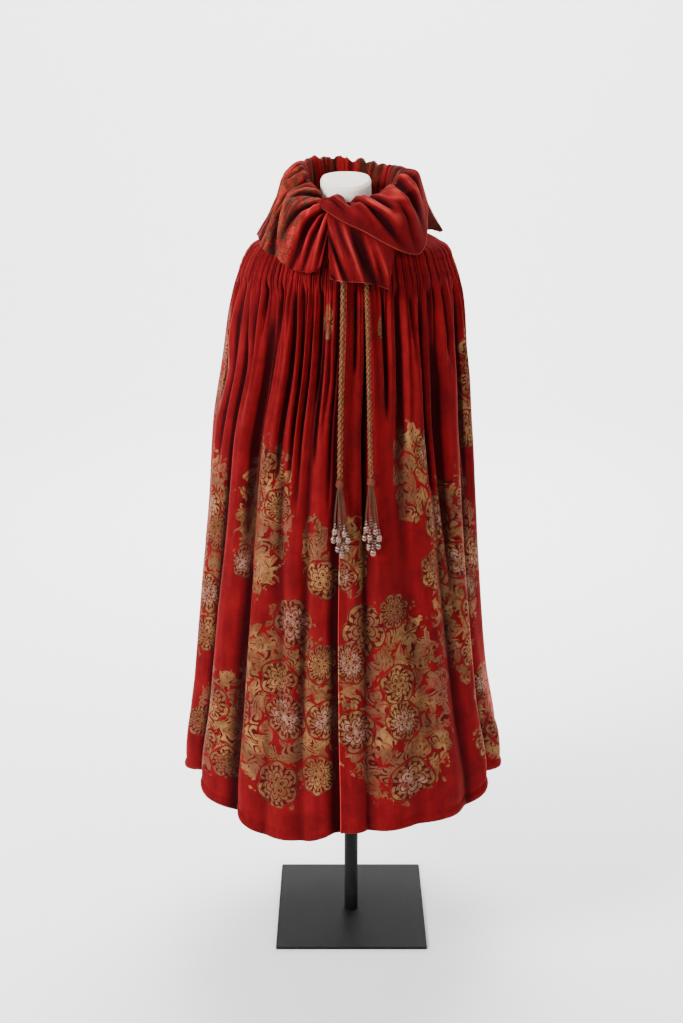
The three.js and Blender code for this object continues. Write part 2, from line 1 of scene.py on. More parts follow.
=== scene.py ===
"""A full velvet cloak with a ruched, crossed collar and two plaited cords, on a limbless dress form.

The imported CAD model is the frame. Every form below is a function on a grid, worked out with numpy in
millimetres and put into a mesh in metres: +Z up, -Y the front, the origin on the floor under the pole.
An azimuth is in degrees, 0 at the front and 90 at the viewer's right.
"""

import math

import bpy
import numpy as np
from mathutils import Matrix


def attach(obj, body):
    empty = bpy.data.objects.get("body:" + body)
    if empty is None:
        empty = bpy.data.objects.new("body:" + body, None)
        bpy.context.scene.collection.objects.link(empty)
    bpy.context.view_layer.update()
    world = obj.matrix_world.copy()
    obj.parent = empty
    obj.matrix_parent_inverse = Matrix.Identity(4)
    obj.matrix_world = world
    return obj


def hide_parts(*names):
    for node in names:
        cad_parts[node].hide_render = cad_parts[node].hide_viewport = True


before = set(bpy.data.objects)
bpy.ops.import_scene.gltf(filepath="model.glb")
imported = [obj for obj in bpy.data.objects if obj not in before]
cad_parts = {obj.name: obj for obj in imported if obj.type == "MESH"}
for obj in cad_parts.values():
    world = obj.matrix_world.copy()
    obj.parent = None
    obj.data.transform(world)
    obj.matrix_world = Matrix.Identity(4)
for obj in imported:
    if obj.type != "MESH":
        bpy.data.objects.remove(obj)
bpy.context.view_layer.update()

bl_info = {
    "name": "Velvet Cloak on a Dress Form",
    "version": (1, 0, 0),
    "blender": (4, 5, 0),
    "location": "View3D > Sidebar > Cloak",
    "description": "Builds a gathered velvet cloak, its collar, cords and stand",
    "category": "Object",
}

MM = 0.001
WALL = 2.4  # the velvet's wall
SHIRRED_WALL = 1.2  # the same where it is shirred
SQUARENESS = 2.2  # exponent of the superellipse of each level section
SEAM = 0.4  # the gap between pieces side by side
SEAT = 0.6  # the gap between a piece and what it lies on
TUCK_START = -6.0  # where the left front goes under the right one, from the opening
TUCK_FOLD = 0.25  # the covered strip of the left front, in folds
TUCK_CELLS = 10
PANEL_CELLS = 48  # cells of one main fold
# How much deeper the gathers and stitches are than in the sections' table below.
PLEAT_GAIN = 1.6
WAVE_GAIN = 1.9  # high up, falling to half the table's depth low down
STITCH_GAIN = 2.0
CREASE_GAIN = 1.45  # how much deeper the panels' creases are than in their table
CREASE_UNIT = 70  # millimetres of cloth in one main fold, for the creases' places
# Heights on the panels, from the neck's edge to the hem.
TOP = 1440
SHIRRING_TOP = 1425
SHIRRING_FOOT = 1343
DEEPEST_PLEATS = 1310
HEM_STITCHES = 374
HEM = 350
STITCH_ROWS = np.array([1397.0, 1384.0, 1371.0, 1358.0, 1345.0])
WIDTH_LEVEL = 560.0  # where the cloth's flat width is measured


def table(names, rows):
    """A table as a dict of columns."""
    return dict(zip(names.split(), np.array(rows, float).T))


# The skirt's level sections, as in the solids: half width, depths in front and behind and the
# middle's place, the depths of stitches, pleats and waves, how much of the main folds shows and how
# far they have moved to their places at the hem, the tucked strip's depth and where it ends, and
# the share of the hem's rise.
SECTIONS = table(
    "z half front back middle stitch pleat wave main low tuck lap lift",
    [
        [1440, 66, 66, 56, -8, 0, 0, 0, 0, 0, 0, -SEAM, 0],
        [1425, 104, 92, 84, -8, 0, 0, 0, 0, 0, 3.8, -SEAM, 0],
        [1400, 160, 126, 118, -7, 0, 1.4, 0, 0, 0, 6, 12, 0],
        [1386, 181, 138, 130, -6, 1.8, 0, 0, 0, 0, 7, 14, 0],
        [1364, 192, 147, 142, -8, 1.8, 0, 0, 0, 0, 7, 14, 0],
        [1343, 200, 153, 150, -8, 1.8, 0, 0, 0, 0, 8, 14, 0],
        [1310, 211, 160, 158, -8, 0, 4.5, 2, 0.15, 0, 11, 14, 0],
        [1265, 221, 167, 166, -9, 0, 3, 5, 0.5, 0, 11, 14, 0],
        [1190, 231, 179, 178, -11, 0, 1.2, 4, 0.9, 0, 10, 14, 0],
        [1060, 246, 199, 197, -18, 0, 0, 2.5, 1, 0.1, 9, 14, 0],
        [900, 258, 222, 218, -19, 0, 0, 1.5, 1, 0.3, 9, 14, 0],
        [730, 276, 248, 241, -21, 0, 0, 1, 1, 0.5, 9, 14, 0],
        [560, 294, 274, 263, -20, 0, 0, 1, 1, 0.75, 9, 14, 0],
        [374, 317, 303, 288, -17, 0, 0, 1, 1, 1, 14, 14, 1],
        [356, 316, 302, 287, -17, 0, 0, 1, 1, 1, 14, 14, 1],
        [350, 309, 295, 280, -17, 0, 0, 1, 1, 1, 14, 14, 1],
    ],
)

# The valleys between the main folds, as in the solids: azimuth high up and at the hem, depth high up
# and at the hem, and how far the hem rises there.
VALLEYS = table(
    "high hem high_depth hem_depth rise",
    [
        [-1.5, -1, 0, 0, 8],
        [11, 9, 9, 12, 8],
        [28, 27, 8, 8, 10],
        [47, 49, 20, 16, 8],
        [68, 66, 12, 46, 32],
        [89, 87, 10, 14, 16],
        [112, 113, 16, 34, 0],
        [136, 134, 9, 12, -6],
        [156, 157, 17, 38, 2],
        [181, 179, 9, 12, -8],
        [203, 204, 16, 32, 2],
        [229, 226, 11, 14, -4],
        [252, 253, 16, 36, 4],
        [277, 274, 10, 14, 8],
        [298, 293, 21, 50, 34],
        [316, 318, 14, 26, 8],
        [330, 332, 11, 8, -14],
        [343, 345, 10, 7, -14],
        [358.5, 359, 0, 0, 2],
    ],
)
FOLDS = len(VALLEYS["high"]) - 1
# The heights of the panels' grids, and the even steps from each to the next.
PANEL_LEVELS = [TOP, 1404, 1330, 1240, 385, HEM], [12, 37, 18, 63, 13]

# Creases of the panels, each from one place to another, as millimetres along the cloth and
# heights, with a depth and a width.
CREASES = [
    (34, 1335, 34, 1200, 7, 5),
    (70, 1335, 70, 900, 14, 6),
    (112, 1330, 118, 1120, 8, 6),
    (146, 1335, 152, 1060, 10, 7),
    (176, 1330, 182, 1210, 8, 6),
    (198, 1335, 206, 980, 11, 8),
    (224, 1335, 232, 740, 14, 9),
    (250, 1330, 256, 1180, 8, 7),
    (285, 1335, 296, 940, 11, 9),
    (318, 1325, 322, 1170, 8, 7),
    (352, 1330, 345, 1020, 10, 10),
    (398, 1325, 402, 1120, 8, 8),
    (60, 980, 92, 520, 4, 16),
    (150, 800, 170, 420, 6, 15),
    (300, 860, 316, 470, 7, 16),
    (455, 1330, 448, 1080, 9, 9),
    (500, 1325, 512, 980, 10, 10),
    (548, 1330, 540, 1130, 8, 8),
    (590, 1325, 604, 1000, 11, 11),
    (640, 1330, 632, 1090, 8, 9),
    (688, 1325, 700, 940, 11, 11),
    (735, 1330, 726, 1110, 9, 9),
    (784, 1330, 792, 1010, 10, 10),
    (826, 1325, 820, 1130, 7, 8),
    (470, 900, 486, 420, 6, 18),
    (545, 860, 560, 380, 8, 17),
    (620, 800, 640, 370, 7, 16),
    (700, 900, 690, 400, 8, 18),
    (772, 840, 750, 380, 7, 17),
    (872, 1330, 866, 1030, 9, 9),
    (915, 1325, 926, 1100, 8, 8),
    (958, 1330, 950, 960, 10, 9),
    (1000, 1325, 1008, 1080, 9, 9),
    (1040, 1335, 1034, 860, 14, 10),
    (1068, 1330, 1074, 1120, 8, 7),
    (1107, 1335, 1104, 1010, 12, 8),
    (1134, 1330, 1138, 1000, 13, 8),
    (1165, 1335, 1160, 960, 11, 8),
    (1190, 1330, 1194, 1150, 7, 6),
    (1207, 1335, 1204, 1040, 9, 7),
    (1228, 1330, 1222, 1090, 6, 6),
    (1246, 1335, 1241, 960, 7, 5),
    (900, 800, 912, 430, 6, 16),
    (1050, 820, 1036, 460, 7, 15),
    (1130, 900, 1150, 500, 7, 14),
    (1196, 860, 1180, 440, 5, 14),
]
# The panels, each with the main folds that it runs from and to.
PANELS = [
    ("cloak_front_right", 0, 6),
    ("cloak_back", 6, 12),
    ("cloak_front_left", 12, 18),
]

# The ruff's path at each azimuth: radius and height of its crest, belly and lower edge.
RUFF = table(
    "azimuth crest crest_z belly belly_z edge edge_z",
    [
        [70, 78, 1486, 124, 1450, 138, 1419],
        [80, 84, 1504, 128, 1464, 146, 1420],
        [90, 92, 1519, 138, 1476, 172, 1412],
        [120, 84, 1524, 142, 1474, 166, 1412],
        [150, 80, 1528, 138, 1476, 152, 1414],
        [180, 78, 1534, 134, 1478, 146, 1414],
        [210, 79, 1537, 136, 1478, 150, 1414],
        [240, 79, 1534, 137, 1476, 162, 1410],
        [270, 77, 1525, 136, 1472, 168, 1411],
        [290, 72, 1511, 140, 1463, 169, 1399],
        [301, 68, 1494, 147, 1450, 174, 1391],
        [312, 66, 1482, 146, 1441, 173, 1381],
        [323, 64, 1472, 143, 1433, 172, 1366],
        [336, 60, 1463, 133, 1424, 168, 1356],
        [343, 58, 1457, 121, 1421, 158, 1370],
    ],
)
RUFF_WRINKLES = 40
RUFF_WRINKLE_DEPTH = 6.5
RUFF_FLAT = (0.15, 0.22)  # in metres, the radius and length of its flat coordinates
SHOULDER = (0.68, 0.2)  # the collar's shoulder, as shares out and down from crest to belly
# The ruff's deep grooves: azimuth, depth and width.
GROOVES = [
    (120, 9, 5),
    (152, 8, 5),
    (198, 9, 5),
    (236, 8, 5),
    (268, 10, 4),
]

# Creases of the collar's pieces: from one place to another, depth and width. A place is an azimuth,
# or a share of the way across, and a share of the way down, times the units that stand before each
# table.
RUFF_UNITS = (2, 130)
RUFF_CREASES = [
    (687, 30, 679, 140, 9, 3.2),
    (682, 18, 662, 140, 15, 4.5),
    (674, 12, 648, 140, 17, 5),
    (664, 8, 624, 122, 8, 4),
    (652, 4, 612, 70, 9, 4),
    (634, 0, 600, 52, 8, 4),
    (572, 16, 598, 92, 24, 8),
    (598, 92, 626, 138, 20, 7),
    (598, 0, 590, 60, 7, 4),
    (556, 40, 574, 138, 9, 5),
    (548, 5, 556, 90, 7, 5),
    (520, 30, 528, 120, 7, 6),
    (500, 0, 492, 80, 8, 5),
    (462, 10, 470, 110, 7, 6),
    (430, 0, 424, 90, 8, 5),
    (390, 10, 396, 120, 7, 6),
    (352, 0, 346, 100, 8, 6),
    (310, 5, 318, 110, 7, 5),
    (270, 0, 262, 90, 8, 5),
    (238, 10, 246, 110, 7, 6),
    (206, 0, 200, 90, 7, 5),
    (186, 20, 182, 120, 6, 5),
]
SWATH_UNITS = (260, 120)
SWATH_CREASES = [
    (86, 40, 152, 112, 15, 6),
    (132, 22, 152, 82, 9, 6),
    (214, 18, 193, 60, 16, 9),
    (193, 60, 204, 104, 12, 8),
    (238, 18, 232, 92, 8, 6),
    (28, 86, 68, 98, 6, 4),
    (58, 22, 94, 68, 8, 5),
    (108, 50, 142, 88, 4, 4),
    (168, 68, 176, 118, 6, 5),
    (166, 14, 160, 40, 4, 4),
]
HANGING_UNITS = (110, 90)
HANGING_CREASES = [
    (0, 24, 40, 92, 10, 5),
    (50, 0, 84, 94, 15, 11),
    (4, 82, 22, 98, 5, 3),
    (88, 30, 100, 80, 4, 5),
    (24, 10, 52, 60, 3, 4),
]

# The crossing end's path at each azimuth: radius and height of its base, crest, belly and edge.
NECK_BASE = 65
SWATH = table(
    "azimuth base base_z crest crest_z belly belly_z edge edge_z",
    [
        [-33, 78, 1475, 81, 1477, 87, 1474, 92, 1468],
        [-27, 64, 1472, 69, 1478, 88, 1472, 101, 1461],
        [-18, 58, 1466, 64, 1483, 92, 1473, 107, 1454],
        [-10, NECK_BASE, 1441, 61, 1478, 96, 1469, 114, 1446],
        [1, NECK_BASE, 1441, 60, 1469, 102, 1461, 123, 1436],
        [11, NECK_BASE, 1441, 67, 1480, 113, 1464, 134, 1426],
        [24, NECK_BASE, 1441, 74, 1481, 136, 1452, 158, 1406],
        [34, NECK_BASE, 1441, 80, 1482, 150, 1450, 173, 1391],
        [44, NECK_BASE, 1441, 86, 1492, 152, 1455, 172, 1385],
        [54, NECK_BASE, 1441, 92, 1503, 147, 1467, 166, 1398],
        [62, NECK_BASE, 1441, 96, 1511, 141, 1478, 157, 1420],
        [70, 95, 1511, 100, 1517, 136, 1487, 149, 1444],
        [80, 102, 1521, 106, 1524, 134, 1496, 144, 1464],
    ],
)
SWATH_CELLS = 29
SWATH_FOLDS = 3
SWATH_FOLD_DEPTH = 5
SWATH_FLAT = (0.29, 0.14)  # in metres, the width and length of its flat coordinates
# The hanging end's lower edge, and how far it bulges out above each point.
HANGING = table(
    "x y z bulge",
    [
        [-40, -177, 1350, 4],
        [-20, -183, 1346, 9],
        [6, -185, 1345, 8],
        [34, -183, 1341, 9],
        [60, -175, 1332, 5],
    ],
)
HANGING_FROM, HANGING_TO = 3, 16  # the crossing end's columns that it hangs under
HANGING_FLAT = (0.16, 0.12)  # as the crossing end's

# The dress form's level sections, and how much of the neck's tilt each has.
FORM = table(
    "z half front back middle lean",
    [
        [800, 148, 104, 104, -4, 0],
        [812, 158, 112, 112, -4, 0],
        [880, 164, 116, 118, -5, 0],
        [960, 144, 106, 104, -6, 0],
        [1050, 118, 96, 88, -7, 0],
        [1150, 132, 112, 98, -7, 0],
        [1230, 146, 126, 108, -7, 0],
        [1300, 150, 118, 116, -7, 0],
        [1360, 150, 104, 112, -7, 0],
        [1388, 140, 94, 100, -7, 0],
        [1412, 112, 82, 82, -8, 0],
        [1424, 88, 72, 68, -8, 0],
        [1438.4, 65.3, 65.3, 55.3, -8, 0],
        [1450, 50, 54, 40, -10, 0.2],
        [1474, 45, 52, 36, -11.5, 0.6],
        [1500, 45.5, 54, 34, -12.5, 1],
        [1506, 42.5, 51, 31, -12.5, 1],
    ],
)
FORM_LEVELS = (
    [1506, 1499, 1494, 1440, 1436, 1380, 1370, 815, 812, 800],
    [5, 1, 13, 1, 14, 1, 49, 1, 5],
)
FORM_SIDES = 96
NECK_TILT = 15  # degrees that the neck's top leans forward
NECK_LIP = [(0.5, 1.4), (0.96, 1.1), (0.99, 0.6)]  # share of the way out, height over the rim
# The socket for the pole, the pole, and the plate, whose middle lies behind the pole's axis.
SOCKET = {"radius": 14.6, "foot": 800.0, "top": 858.4}
POLE = {"radius": 14, "top": 858, "sides": 64}
PLATE = {"side": 305, "thick": 6, "back": 12, "corner": 3.0}
STEEL_BEVEL = 0.8

# The cords' routes from under the collar to their knots, the same points as in the solids.
CORDS = {
    "left": (
        6.5,
        [
            [-15, -97, 1428],
            [-16, -131, 1405],
            [-17, -153, 1370],
            [-17, -164, 1335],
            [-18, -177, 1265],
            [-20, -191, 1180],
            [-22, -206, 1085],
            [-23, -217, 1010],
        ],
    ),
    "right": (
        5.6,
        [
            [22, -96, 1428],
            [23, -131, 1406],
            [23, -154, 1370],
            [23, -162, 1335],
            [25, -174, 1265],
            [27, -188, 1180],
            [29, -204, 1085],
            [31, -215, 1013],
        ],
    ),
}
# The tassels' strands: how far each spreads to the side and out, and how far it drops.
STRANDS = table(
    "side out drop",
    [
        [-17, 0, 92],
        [-13, 9, 74],
        [-7, 1, 108],
        [-5, 10, 88],
        [0, 0, 70],
        [2, 8, 116],
        [6, 1, 98],
        [9, 10, 78],
        [14, 2, 106],
        [17, 8, 90],
    ],
)
KNOT_HEIGHT = 16
KNOT_RADIUS = 7
CORD_SHARE = 0.78  # the plaited cord's radius, as a share of the solid's
CORD_STEPS = 240
TASSEL_WAY = (0.02, -0.15, -1.0)  # the way that the strands hang
# Each strand's beads from the lowest up: radius, height, how far up it is, rows and sides.
BEADS = [
    (5.2, 13, 0, 7, 12),
    (2.6, 4.5, 4.9, 5, 8),
    (2.2, 3.6, 9.2, 5, 8),
]

# The stage. The floor and the camera's film are in millimetres and the rest is in metres. A lamp has
# a place, an aim, a size and a power in watts.
CAMERA = {"place": (-0.020, -2.472, 1.662), "pitch": 72.5, "film": 36, "far": 50}
FLOOR = {"flat": 4600.0, "bend": 1600.0, "wall": 5500}
LAMPS = [
    ("key", (-2.9, -2.0, 2.9), (0, 0, 0.95), 1.2, 310),
    ("fill", (2.8, -2.4, 2.2), (0, 0, 0.9), 2.2, 26),
    ("top", (0.2, 1.9, 3.9), (0, 1.6, 0.8), 2.6, 300),
    ("backdrop", (0, 2.4, 4.4), (0, 6.2, 1.4), 2.6, 520),
]
WORLD_STRENGTH = 0.27


# Curves and sections.


def mix(a, b, t):
    """a + (b - a) t."""
    return a + (b - a) * t


def ease(t):
    """3 t^2 - 2 t^3 between 0 and 1."""
    t = np.clip(t, 0, 1)
    return t * t * (3 - 2 * t)


def bell(x, middle, width):
    """exp(-((x - middle) / width)^2)."""
    return np.exp(-(((x - middle) / width) ** 2))


def hashed(number, seed=0.0):
    """A fixed number from 0 to 1 for each number: the part after the point of a large sine."""
    return np.modf(np.abs(np.sin(number * 12.9898 + seed * 78.233)) * 43758.5453)[0]


def curve(x, xs, ys):
    """A cubic through points whose slope at each is the harmonic mean of its chords' slopes, or 0."""
    chord = np.diff(ys) / np.diff(xs)
    product, total = chord[:-1] * chord[1:], chord[:-1] + chord[1:]
    inner = np.where(product > 0, 2 * product / np.where(total == 0, 1, total), 0)
    slope = np.concatenate([chord[:1], inner, chord[-1:]])
    k = np.clip(np.searchsorted(xs, x, side="right") - 1, 0, len(xs) - 2)
    step = xs[k + 1] - xs[k]
    t = np.clip((x - xs[k]) / step, 0, 1)
    return (
        (2 * t**3 - 3 * t**2 + 1) * ys[k]
        + (t**3 - 2 * t**2 + t) * step * slope[k]
        + (3 * t**2 - 2 * t**3) * ys[k + 1]
        + (t**3 - t**2) * step * slope[k + 1]
    )


def levels(heights, steps):
    """A column of heights, from each of these to the next in so many even steps."""
    spans = zip(heights, heights[1:], steps)
    parts = [np.linspace(start, end, count, endpoint=False) for start, end, count in spans]
    return np.concatenate([*parts, heights[-1:]])[:, None]


def rows_at(x, columns, by):
    """Every column of a table as a curve, at values of the column by."""
    order = np.argsort(columns[by])
    xs = columns[by][order]
    row = {name: curve(x, xs, values[order]) for name, values in columns.items()}
    return {**row, by: x}


def section_radius(section, azimuth):
    """(|sin a / half|^p + |cos a / depth|^p)^(-1/p), with one depth in front and one behind."""
    angle = np.radians(azimuth)
    depth = np.where(np.cos(angle) > 0, section["front"], section["back"])
    across = (np.abs(np.sin(angle)) / section["half"]) ** SQUARENESS
    along = (np.abs(np.cos(angle)) / depth) ** SQUARENESS
    return (across + along) ** (-1 / SQUARENESS)


def around(middle, azimuth, radius, z):
    """The points (middle + r sin a, -r cos a, z)."""
    angle = np.radians(azimuth)
    x, y, z = np.broadcast_arrays(
        middle + radius * np.sin(angle), -radius * np.cos(angle), z
    )
    return np.stack([x, y, z], -1)


def outward(radius, z):
    """The unit direction left of the way down each column of radius and height."""
    dr, dz = np.gradient(radius, axis=0), np.gradient(z, axis=0)
    length = np.hypot(dr, dz) + 1e-9
    return -dz / length, dr / length


def opening_azimuth(section, along):
    """The azimuth of a point so far along the cloth from the opening."""
    opening = mix(VALLEYS["high"][-1], VALLEYS["hem"][-1], section["low"])
    return opening + np.degrees(along / section_radius(section, 0.0))


def fold_azimuth(section, fold):
    """Between two valleys the azimuth runs evenly; past the last, along the covered strip."""
    k = np.clip(np.floor(fold).astype(int), 0, FOLDS - 1)
    high, hem, low = VALLEYS["high"], VALLEYS["hem"], section["low"]
    here = mix(high[k], hem[k], low)
    after = mix(high[k + 1], hem[k + 1], low)
    after = np.where(k == FOLDS - 1, opening_azimuth(section, TUCK_START), after)
    covered = mix(TUCK_START, section["lap"], (fold - FOLDS) / TUCK_FOLD)
    inside = mix(here, after, fold - k)
    return np.where(fold > FOLDS, opening_azimuth(section, covered), inside)


def troughs(index, seed, power):
    """Troughs at whole numbers, each of its own depth: h (0.5 + 0.5 cos 2 pi i)^p."""
    size = 0.3 + 1.35 * hashed(np.floor(index + 0.5), seed)
    return size * (0.5 + 0.5 * np.cos(2 * np.pi * index)) ** power


def creases(u, v, rows):
    """The sum of soft troughs along lines: depth exp(-(d / width)^2), shallower at the ends."""
    total = 0.0
    for u0, v0, u1, v1, depth, width in rows:
        du, dv = u1 - u0, v1 - v0
        near = np.clip(((u - u0) * du + (v - v0) * dv) / (du * du + dv * dv), 0, 1)
        away = (u - u0 - near * du) ** 2 + (v - v0 - near * dv) ** 2
        total = total + depth * np.exp(-away / width**2) * (0.35 + 0.65 * np.sin(np.pi * near))
    return total


def edge_fade(fold):
    """Gathers die out over five eighths of a fold beside the front edges."""
    return ease(np.clip(np.minimum(fold, FOLDS - fold) * 8 / 5, 0, 1))


def by_height(name, z):
    """One column of the sections, at any heights."""
    return curve(np.clip(z, HEM, TOP), SECTIONS["z"][::-1], SECTIONS[name][::-1])


def broad_depth(section, fold):
    """The main folds' valleys, the gathers of 4 and 2 a fold, each of its own depth and length and
    calmer beside the front opening, and the listed creases."""
    k = np.clip(np.floor(fold).astype(int), 0, FOLDS - 1)
    f = np.clip(fold - k, 0, 1)
    high, hem = VALLEYS["high_depth"], VALLEYS["hem_depth"]
    here = mix(high[k], hem[k], section["low"]) * section["main"]
    after = mix(high[k + 1], hem[k + 1], section["low"]) * section["main"]
    after = np.where(k == FOLDS - 1, section["tuck"], after)
    soft = np.sqrt(np.sin(np.pi * f) ** 2 + 0.008)
    valley = mix(here, after, f) * np.clip(1 - soft, 0, 1)
    z = section["z"]
    four = 4 * fold + 0.42 * np.sin(2.9 * fold + 1) + 0.2 * np.sin(7.7 * fold)
    four = four + 0.09 * np.cos(2 * np.pi * four)
    two = 2 * fold + 0.25 * np.sin(1.9 * fold + 2)
    length_4 = 110 * (hashed(np.floor(four + 0.5), 7) - 0.5)
    length_2 = 220 * (hashed(np.floor(two + 0.5), 8) - 0.45)
    start = ease((SHIRRING_FOOT + 5 - z) / 34)
    pleat = PLEAT_GAIN * by_height("pleat", np.minimum(z + length_4, DEEPEST_PLEATS)) * start
    wave = mix(0.5, WAVE_GAIN, ease((z - 1000) / 210)) * by_height("wave", z + length_2) * start
    calm = 1 - 0.75 * bell(fold, 0.9, 0.8) - 0.35 * bell(fold, 17.1, 0.6)
    gathers = calm * (pleat * troughs(four, 2, 1.7) + wave * troughs(two, 4, 1.5))
    by_hand = CREASE_GAIN * creases(fold * CREASE_UNIT, z, CREASES) * start
    beside = ease(np.minimum(fold, FOLDS - fold) * 6)
    dip = section["tuck"] * ease((fold - FOLDS + 0.4) / 0.4)
    return np.maximum(valley, dip) + gathers * edge_fade(fold) + by_hand * beside


def fine_depth(section, fold):
    """The shirring's own gathers, 8 a fold, pinched between their troughs by rows of stitches, the
    hem's puckered stitches, and its roll, a half sine over its lowest 26 mm."""
    index = 8 * fold + 0.3 * np.sin(2 * np.pi * fold * 1.7) + 0.2 * np.sin(31 * fold)
    z = section["z"]
    gather = troughs(index, 1, 1.0)
    near_top = ease((z - 1386) / 12) * (z < SHIRRING_TOP)
    amount = STITCH_GAIN * by_height("stitch", z) + 0.8 * near_top
    rows = STITCH_ROWS + 1.2 * np.sin(9.1 * fold)[..., None]
    pinch = bell(z[..., None], rows, 2.4).sum(-1)
    puff = 0.6 + 0.4 * hashed(np.floor(index) * 7 + np.floor(z / 13), 6)
    puckers = 1.2 + 0.6 * np.sin(27 * fold + 2 * np.sin(3.1 * fold))
    hem = bell(z, HEM_STITCHES, 5) * puckers
    roll = 3.6 * np.sin(np.pi * np.clip((z - HEM) / 26, 0, 1)) ** 0.7
    return (amount * gather * puff + 0.8 * pinch * (z > 1338) + hem) * edge_fade(fold) - roll


def blurred(values, cells):
    """The mean of each row over so many cells to each side."""
    padded = np.pad(values, ((0, 0), (cells + 1, cells)), mode="edge")
    total = np.cumsum(padded, axis=1)
    return (total[:, 2 * cells + 1 :] - total[:, : -2 * cells - 1]) / (2 * cells + 1)


def painted_fold_light_of(depth, cells, scale):
    """The painted light of a grid of depths, from -1, a painted highlight on a ridge, to 1, painted
    shade in a valley: the depth below the mean of its row nearby.
    """
    return np.clip((depth - blurred(depth, cells)) / scale, -1, 1)


def cloak_grid(start, end):
    """A panel's outer and inner grids in millimetres, its flat coordinates in metres, and its painted
    light: painted shade in the valleys of the folds and the shirring and where the left front goes
    under the right one, and a painted highlight on their ridges and along the right front's edge. A
    place lies in from its section by the folds' depth, and the inner grid further in by the wall."""
    z = levels(*PANEL_LEVELS)
    fold = np.linspace(start, end, (end - start) * PANEL_CELLS + 1)
    last = end == FOLDS
    if last:
        covered_strip = FOLDS + TUCK_FOLD * np.arange(1, TUCK_CELLS + 1) / TUCK_CELLS
        fold = np.concatenate([fold, covered_strip])
    fold = fold[None, :]
    section = rows_at(z, SECTIONS, "z")
    azimuth = fold_azimuth(section, fold)
    half_seam = np.degrees(SEAM / 2 / section_radius(section, azimuth))
    azimuth[:, 0] += half_seam[:, 0]
    if not last:
        azimuth[:, -1] -= half_seam[:, -1]
    radius = section_radius(section, azimuth)
    height = np.broadcast_to(z, radius.shape)
    out_r, out_z = outward(radius, height)
    level = np.clip(section["main"] / 0.15, 0, 1)
    along_r, along_z = mix(out_r, 1, level), mix(out_z, 0, level)
    covered = fold > FOLDS
    broad = np.where(covered, section["tuck"], broad_depth(section, fold))
    fine = np.where(covered, 0, fine_depth(section, fold))
    hidden = fine.max(axis=1, keepdims=True)
    k = np.clip(np.floor(fold).astype(int), 0, FOLDS - 1)
    rise = mix(VALLEYS["rise"][k], VALLEYS["rise"][k + 1], ease(fold - k))
    height = height + section["lift"] * rise

    def placed(depth, wall):
        return around(
            section["middle"],
            azimuth,
            radius - depth * along_r - wall * out_r,
            height - depth * along_z - wall * out_z,
        )

    outer = placed(broad + fine, 0)
    inner = placed(broad + hidden, np.where(section["z"] > SHIRRING_FOOT, SHIRRED_WALL, WALL))
    flat = flat_place(np.broadcast_to(fold, radius.shape), z)
    # Painted shade in the valleys of the main folds and the shirring, a painted highlight on their
    # ridges.
    painted_fold_light = painted_fold_light_of(broad, 16, mix(4.5, 12.0, ease((1150 - z) / 400)))
    painted_fold_light = np.clip(painted_fold_light + 0.8 * painted_fold_light_of(fine, 4, 1.2) * (z > 1300), -1, 1)
    # A painted shadow where the left front goes under the right one, and a painted highlight along the
    # right front's edge.
    painted_fold_light = np.maximum(painted_fold_light, 0.8 * ease((fold - FOLDS + 0.3) / 0.28))
    painted_fold_light = np.where(fold < 0.04, -1, painted_fold_light)
    return outer, inner, flat, painted_fold_light


def flat_width():
    """How far along the flat cloth each place of a fine list of folds is, in metres, and that list."""
    fold = np.linspace(0, FOLDS + TUCK_FOLD, 3000)[None, :]
    section = rows_at(np.array([[WIDTH_LEVEL]]), SECTIONS, "z")
    azimuth = fold_azimuth(section, fold)
    depth = np.where(fold > FOLDS, section["tuck"], broad_depth(section, fold))
    radius = section_radius(section, azimuth) - depth
    level = around(section["middle"], azimuth, radius, WIDTH_LEVEL)[0]
    step = np.linalg.norm(np.diff(level, axis=0), axis=1)
    return fold[0], np.concatenate([[0], np.cumsum(step)]) * MM


FOLD_LIST, WIDTH_LIST = flat_width()


def flat_place(fold, z):
    """The flat cloth's coordinates in metres: along the hem, and up from the hem."""
    heights = np.linspace(HEM, TOP, 300)
    section = rows_at(heights, SECTIONS, "z")
    step = np.hypot(np.diff(section["half"]), np.diff(heights))
    up = np.concatenate([[0], np.cumsum(step)]) * MM
    u = np.interp(fold, FOLD_LIST, WIDTH_LIST)
    v = np.broadcast_to(np.interp(z, heights, up), np.shape(u))
    return np.stack([u, v], -1)


def flat_grid(along, up, shape):
    """Flat coordinates of a grid of a shape, from its places along and up."""
    return np.stack([np.broadcast_to(along, shape), np.broadcast_to(up, shape)], -1)


def collar_path(row, share):
    """The spline from base over crest, shoulder and belly to edge, at shares of its way."""
    out, down = SHOULDER
    shoulder = mix(row["crest"], row["belly"], out), mix(row["crest_z"], row["belly_z"], down)
    points = [
        (row["base"], row["base_z"]),
        (row["crest"], row["crest_z"]),
        shoulder,
        (row["belly"], row["belly_z"]),
        (row["edge"], row["edge_z"]),
    ]
    control = np.array([[np.broadcast_to(c, row["crest"].shape) for c in p] for p in points])
    at = np.clip(share * 4, 0, 3.99999)
    k = at.astype(int)
    t = (at - k)[:, None, None]
    p0, p1 = control[np.maximum(k - 1, 0)], control[k]
    p2, p3 = control[k + 1], control[np.minimum(k + 2, 4)]
    v0, v1 = (p2 - p0) / 2, (p3 - p1) / 2
    cubic = (2 * p1 - 2 * p2 + v0 + v1) * t**3 + (3 * p2 - 3 * p1 - 2 * v0 - v1) * t**2
    path = cubic + v0 * t + p1
    return path[:, 0], path[:, 1]


def collar_grid(azimuth, row, share, depth):
    """A collar piece's two grids: its path, moved in by the folds' depth, and that by the wall."""
    radius, z = collar_path(row, share)
    out_r, out_z = outward(radius, z)
    middle = SECTIONS["middle"][0]

    def placed(down):
        return around(middle, azimuth[None, :], radius - down * out_r, z - down * out_z)

    return placed(depth), placed(depth + WALL)


